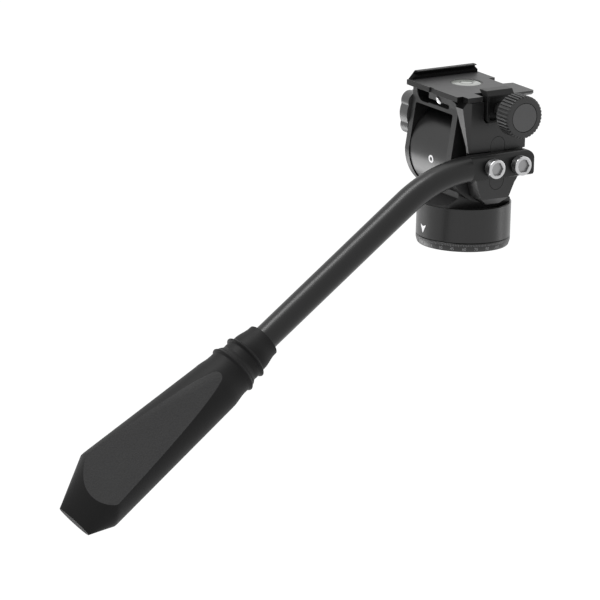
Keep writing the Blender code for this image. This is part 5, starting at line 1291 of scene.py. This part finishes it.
def grip_rings():
    """(place, radius, offset) of each ring: eased over the collar and ridges, straight over the body."""
    valley = (RIDGE_1_PLACE + RIDGE_2_PLACE) / 2
    marks = [(COLLAR_MOUTH, COLLAR_RADIUS), (COLLAR_LENGTH, COLLAR_FLARE_RADIUS),
             (RIDGE_1_PLACE - RIDGE_HALF_WIDTH, COLLAR_FLARE_RADIUS), (RIDGE_1_PLACE, RIDGE_1_RADIUS),
             (RIDGE_1_PLACE + RIDGE_HALF_WIDTH, VALLEY_RADIUS), (valley, VALLEY_RADIUS),
             (RIDGE_2_PLACE - RIDGE_HALF_WIDTH, BODY_START_RADIUS), (RIDGE_2_PLACE, RIDGE_2_RADIUS),
             (RIDGE_2_PLACE + RIDGE_HALF_WIDTH, BODY_START_RADIUS), (BODY_START, BODY_START_RADIUS),
             (SWELL_PLACE, SWELL_RADIUS)]
    rings = [(0, COLLAR_RADIUS - FINE_EDGE * 2, 0), (FINE_EDGE * 2, COLLAR_RADIUS, 0)]
    for (place_a, radius_a), (place_b, radius_b) in zip(marks, marks[1:]):
        for step in range(RINGS_PER_STEP):
            share = step / RINGS_PER_STEP
            eased = share * share * (3 - 2 * share)
            rings.append((place_a + (place_b - place_a) * share,
                          radius_a + (radius_b - radius_a) * eased, 0))
    for step in range(GRIP_BODY_RINGS + 1):
        place = SWELL_PLACE + (GRIP_LENGTH - SWELL_PLACE) * step / GRIP_BODY_RINGS
        swell = (place - SWELL_PLACE) / (BODY_WIDEST - SWELL_PLACE)
        radius = SWELL_RADIUS + (BODY_WIDEST_RADIUS - SWELL_RADIUS) * swell
        rings.append((place, radius, BODY_WIDEST_OFFSET * swell))
    return rings


def grip_mesh():
    """Soft grip: collar, two ridges, swelling body with two stippled flats, tapered end, bore."""
    loops = []
    for place, radius, offset in grip_rings():
        centre = COLLAR_END + HANDLE_AXIS * place
        loop = []
        for step in range(GRIP_SIDES):
            turn = math.tau * step / GRIP_SIDES
            spoke = FLAT_NORMAL * math.cos(turn) + WIDE_DIRECTION * math.sin(turn)
            loop.append(centre + spoke * grip_reach(turn, place, radius, offset))
        loops.append(loop)
    mesh = loft(loops)
    start = COLLAR_END + HANDLE_AXIS * FLAT_START_PLACE
    for side in (-1, 1):
        normal = (FLAT_NORMAL * side - HANDLE_AXIS * FLAT_SLOPE).normalized()
        slice_off(mesh, start + FLAT_NORMAL * side * FLAT_START_DISTANCE, normal)
        mark_faces(mesh, 1, lambda face, middle: face.normal.dot(normal) > FLAT_MATCH_SHARE
                   and face.calc_area() > TUBE_RADIUS * TUBE_RADIUS)
    bore = rod(TUBE_RADIUS + GAP, -OVERRUN, TUBE_IN_GRIP + FINE_EDGE)
    turn = HANDLE_AXIS.to_track_quat("Z", "Y").to_matrix().to_4x4()
    bore.transform(Matrix.Translation(COLLAR_END) @ turn)
    return cut(mesh, bore)


# Base
piece("base_disc", base_disc(), "base", [BODY_BLACK], ["base_ring"], edge=0)
piece("scale_ticks", scale_ticks(), "base", [SCALE_INK], edge=0)
piece("scale_numbers", scale_numbers(), "base", [SCALE_INK], edge=0)
for number, spot in enumerate(screw_places(), 1):
    piece(f"base_screw_head_{number}", base_screw(spot), "base", [PLAIN_STEEL], [f"base_screw_{number}"],
          FINE_EDGE, 2)

# Pan body
piece("housing", housing_mesh(), "pan", [SHELL_BLACK], ["pan_housing"])
piece("pointer_dart", pointer_dart(), "pan", [WHITE_INK], edge=0)
piece("zero_mark", zero_mark(), "pan", [WHITE_INK], edge=0)
piece("pan_knob", pan_lock_mesh(), "pan_lock", [KNOB_BLACK], ["pan_lock_knob"], FINE_EDGE, 2)

# Tilt body
piece("bracket", bracket_mesh(), "tilt", [BODY_BLACK], ["tilt_bracket"])
piece("pin", stop_pin(0), "tilt", [POLISHED], ["clamp_stop_pin"], edge=0)
piece("top_plate", platform_mesh(), "tilt", [PLATFORM_BLACK, PAINTED_SHADE_AND_PRINT_BLACK, RAIL_AND_REAR_SHADE_BLACK], ["platform"])
piece("cup", level_cup(), "tilt", [CAP_BLACK], ["level_cup"], FINE_EDGE, 2)
piece("vial", level_vial(), "tilt", [LIQUID], ["level_vial"], edge=0)
piece("vial_ring", level_ring(), "tilt", [PAINTED_SHADE_AND_PRINT_BLACK], edge=0)
piece("vial_bubble", level_bubble(), "tilt", [BUBBLE], edge=0)
piece("side_plate", plate_mesh(), "tilt", [BODY_BLACK, PAINTED_SHADE_AND_PRINT_BLACK], ["arm_mount_plate"])
piece("side_inlay", stadium(INLAY_HALF_WIDTH, INLAY_HALF_LENGTH, PLATE_OUTER - INLAY_DEPTH, PLATE_OUTER),
      "tilt", [BODY_BLACK], ["arm_mount_inlay"], FINE_EDGE)
piece("handle_bar", bar_mesh(), "tilt", [BAR_BLACK], ["handle_tube"])
for end, side in (("rear", -1), ("front", 1)):
    spot = (0, ARM_CENTRE_Y + side * BOLT_SPACING, TILT_HEIGHT)
    piece(f"bolt_{end}", bolt_mesh(spot), "tilt", [SCREW_STEEL, WASHER_STEEL], [f"handle_bolt_{end}"],
          FINE_EDGE, 2)
    piece(f"washer_{end}", washer_mesh(spot), "tilt", [WASHER_STEEL], [f"handle_washer_{end}"], edge=0)
piece("grip", grip_mesh(), "tilt", [GRIP_BLACK, GRIP_PANEL_PAINTED_SHEEN], ["handle_grip"], SOFT_EDGE)

# Jaw and knobs
piece("jaw_plate", jaw_mesh(), "jaw", [JAW_BLACK], ["movable_jaw"])
piece("clamp_wheel", clamp_knob_mesh(), "clamp_knob", [KNOB_BLACK], ["clamp_knob"], FINE_EDGE, 2)
piece("clamp_wheel_cap", knob_cap_mesh(), "clamp_knob", [CAP_BLACK], ["clamp_knob_cap"], FINE_EDGE, 2)
piece("tilt_wheel", tilt_lock_mesh(), "tilt_lock", [LOCK_BLACK], ["tilt_lock_knob"], SOFT_EDGE)

# The CAD's own inner pieces keep their meshes and take the finishes
INNER_FINISHES = {"plain_steel": PLAIN_STEEL, "polished_steel": POLISHED, "bearing_bronze": BRONZE,
                  "white_nylon": NYLON, "black_anodised": BODY_BLACK, "black_plastic": KNOB_BLACK}
for node, item in frame["nodes"].items():
    if not item.hide_render:
        item.data.materials.clear()
        item.data.materials.append(INNER_FINISHES[record_slot(node)])


# Camera: the photograph's view from the rear right, slightly above
PHOTO_SCALE = 1890.0
PHOTO_WIDTH = 600.0
VIEW_TURN = math.radians(55)
VIEW_RISE = math.radians(13.7)
VIEW_ROLL = math.radians(2)
VIEW_DISTANCE = 12.0
SENSOR = 36.0
AIM_RIGHT = -0.08598
AIM_UP = -0.03095


def place_camera():
    """Long-lens camera at the photograph's angle, aimed so that the object sits where it does there."""
    flat_right = Vector((math.cos(VIEW_TURN), math.sin(VIEW_TURN), 0))
    flat_up = Vector((-math.sin(VIEW_TURN) * math.sin(VIEW_RISE), math.cos(VIEW_TURN) * math.sin(VIEW_RISE),
                      math.cos(VIEW_RISE)))
    back = Vector((math.sin(VIEW_TURN) * math.cos(VIEW_RISE), -math.cos(VIEW_TURN) * math.cos(VIEW_RISE),
                   math.sin(VIEW_RISE)))
    right = flat_right * math.cos(VIEW_ROLL) + flat_up * math.sin(VIEW_ROLL)
    up = flat_up * math.cos(VIEW_ROLL) - flat_right * math.sin(VIEW_ROLL)
    data = bpy.data.cameras.new("camera")
    data.sensor_width = SENSOR
    data.lens = SENSOR / 2 * VIEW_DISTANCE / (PHOTO_WIDTH / PHOTO_SCALE / 2)
    data.clip_end = 200.0
    camera = in_scene("camera", data)
    turn = Matrix((right, up, back)).transposed().to_4x4()
    camera.matrix_world = Matrix.Translation(right * AIM_RIGHT + up * AIM_UP + back * VIEW_DISTANCE) @ turn
    bpy.context.scene.camera = camera
    return right, up, back


# Light and floor
FLOOR_HEIGHT = -0.90
FLOOR_HALF = 60.0
FLOOR_GLOW = 1.12
FLOOR_GLOW_SHARE = 0.85
FILL_LEVEL = 0.65
LAMP_DISTANCE = 1.4
LAMP_AIM = Vector((0, -0.03, 0.03))
# Each lamp: shares of the camera's right, up and back in its direction, then width, height and power
LAMPS = {"low_left": (-0.75, -0.50, -0.55, 0.9, 0.9, 9.0),
         "upper_left": (-0.35, 0.85, 0.30, 0.3, 1.2, 16.0),
         "overhead": (0.20, 1.00, -0.20, 1.0, 1.0, 2.5),
         "rim_right": (1.00, 0.15, -0.20, 0.4, 1.2, 3.0)}


def seen_rays(tree):
    """Socket that is 1 for camera, glossy and transmission rays and 0 for diffuse light."""
    rays = tree.nodes.new("ShaderNodeLightPath")
    socket = rays.outputs["Is Camera Ray"]
    for label in ("Is Glossy Ray", "Is Transmission Ray"):
        larger = tree.nodes.new("ShaderNodeMath")
        larger.operation = "MAXIMUM"
        tree.links.new(socket, larger.inputs[0])
        tree.links.new(rays.outputs[label], larger.inputs[1])
        socket = larger.outputs[0]
    return socket


def white_world():
    """White to the camera and in reflections, a plain mid level for diffuse light."""
    world = bpy.data.worlds.new("studio")
    bpy.context.scene.world = world
    world.use_nodes = True
    tree = world.node_tree
    level = tree.nodes.new("ShaderNodeMapRange")
    level.inputs["To Min"].default_value = FILL_LEVEL
    level.inputs["To Max"].default_value = 1.0
    tree.links.new(seen_rays(tree), level.inputs["Value"])
    shade = tree.nodes["Background"]
    shade.inputs["Color"].default_value = (1, 1, 1, 1)
    tree.links.new(level.outputs[0], shade.inputs["Strength"])


def pale_floor():
    """Plain pale floor far below, white where the lamps reach it, that keeps the object's shadow."""
    mesh = bmesh.new()
    bmesh.ops.create_grid(mesh, x_segments=1, y_segments=1, size=FLOOR_HALF)
    mesh.transform(Matrix.Translation((0, 0, FLOOR_HEIGHT)))
    item = in_scene("floor", mesh_data("floor", mesh))
    finish = Finish("floor_white", roughness=0.9)
    cloud = finish.noise(3.0, 1.0)
    finish.colour(cloud, grey(0.93), grey(0.95))
    tree = finish.tree
    glow = tree.nodes.new("ShaderNodeEmission")
    glow.inputs["Strength"].default_value = FLOOR_GLOW
    mixer = tree.nodes.new("ShaderNodeMixShader")
    share = tree.nodes.new("ShaderNodeMath")
    share.operation = "MULTIPLY"
    share.inputs[1].default_value = FLOOR_GLOW_SHARE
    tree.links.new(seen_rays(tree), share.inputs[0])
    tree.links.new(share.outputs[0], mixer.inputs["Fac"])
    tree.links.new(finish.shader.outputs[0], mixer.inputs[1])
    tree.links.new(glow.outputs[0], mixer.inputs[2])
    tree.links.new(mixer.outputs[0], tree.nodes["Material Output"].inputs["Surface"])
    item.data.materials.append(finish.material)


def softbox(name, direction, width, height, power):
    """Rectangular lamp that faces the head from a direction, at the distance of all the lamps."""
    lamp = bpy.data.lights.new(name, "AREA")
    lamp.shape = "RECTANGLE"
    lamp.size = width
    lamp.size_y = height
    lamp.energy = power
    item = in_scene(name, lamp)
    item.location = LAMP_AIM + direction.normalized() * LAMP_DISTANCE
    item.rotation_mode = "QUATERNION"
    item.rotation_quaternion = (-direction).to_track_quat("-Z", "Y")


bpy.context.scene.view_settings.view_transform = "Standard"
right, up, back = place_camera()
white_world()
pale_floor()
for lamp_name, (to_right, to_top, to_back, width, height, power) in LAMPS.items():
    softbox(lamp_name, right * to_right + up * to_top + back * to_back, width, height, power)
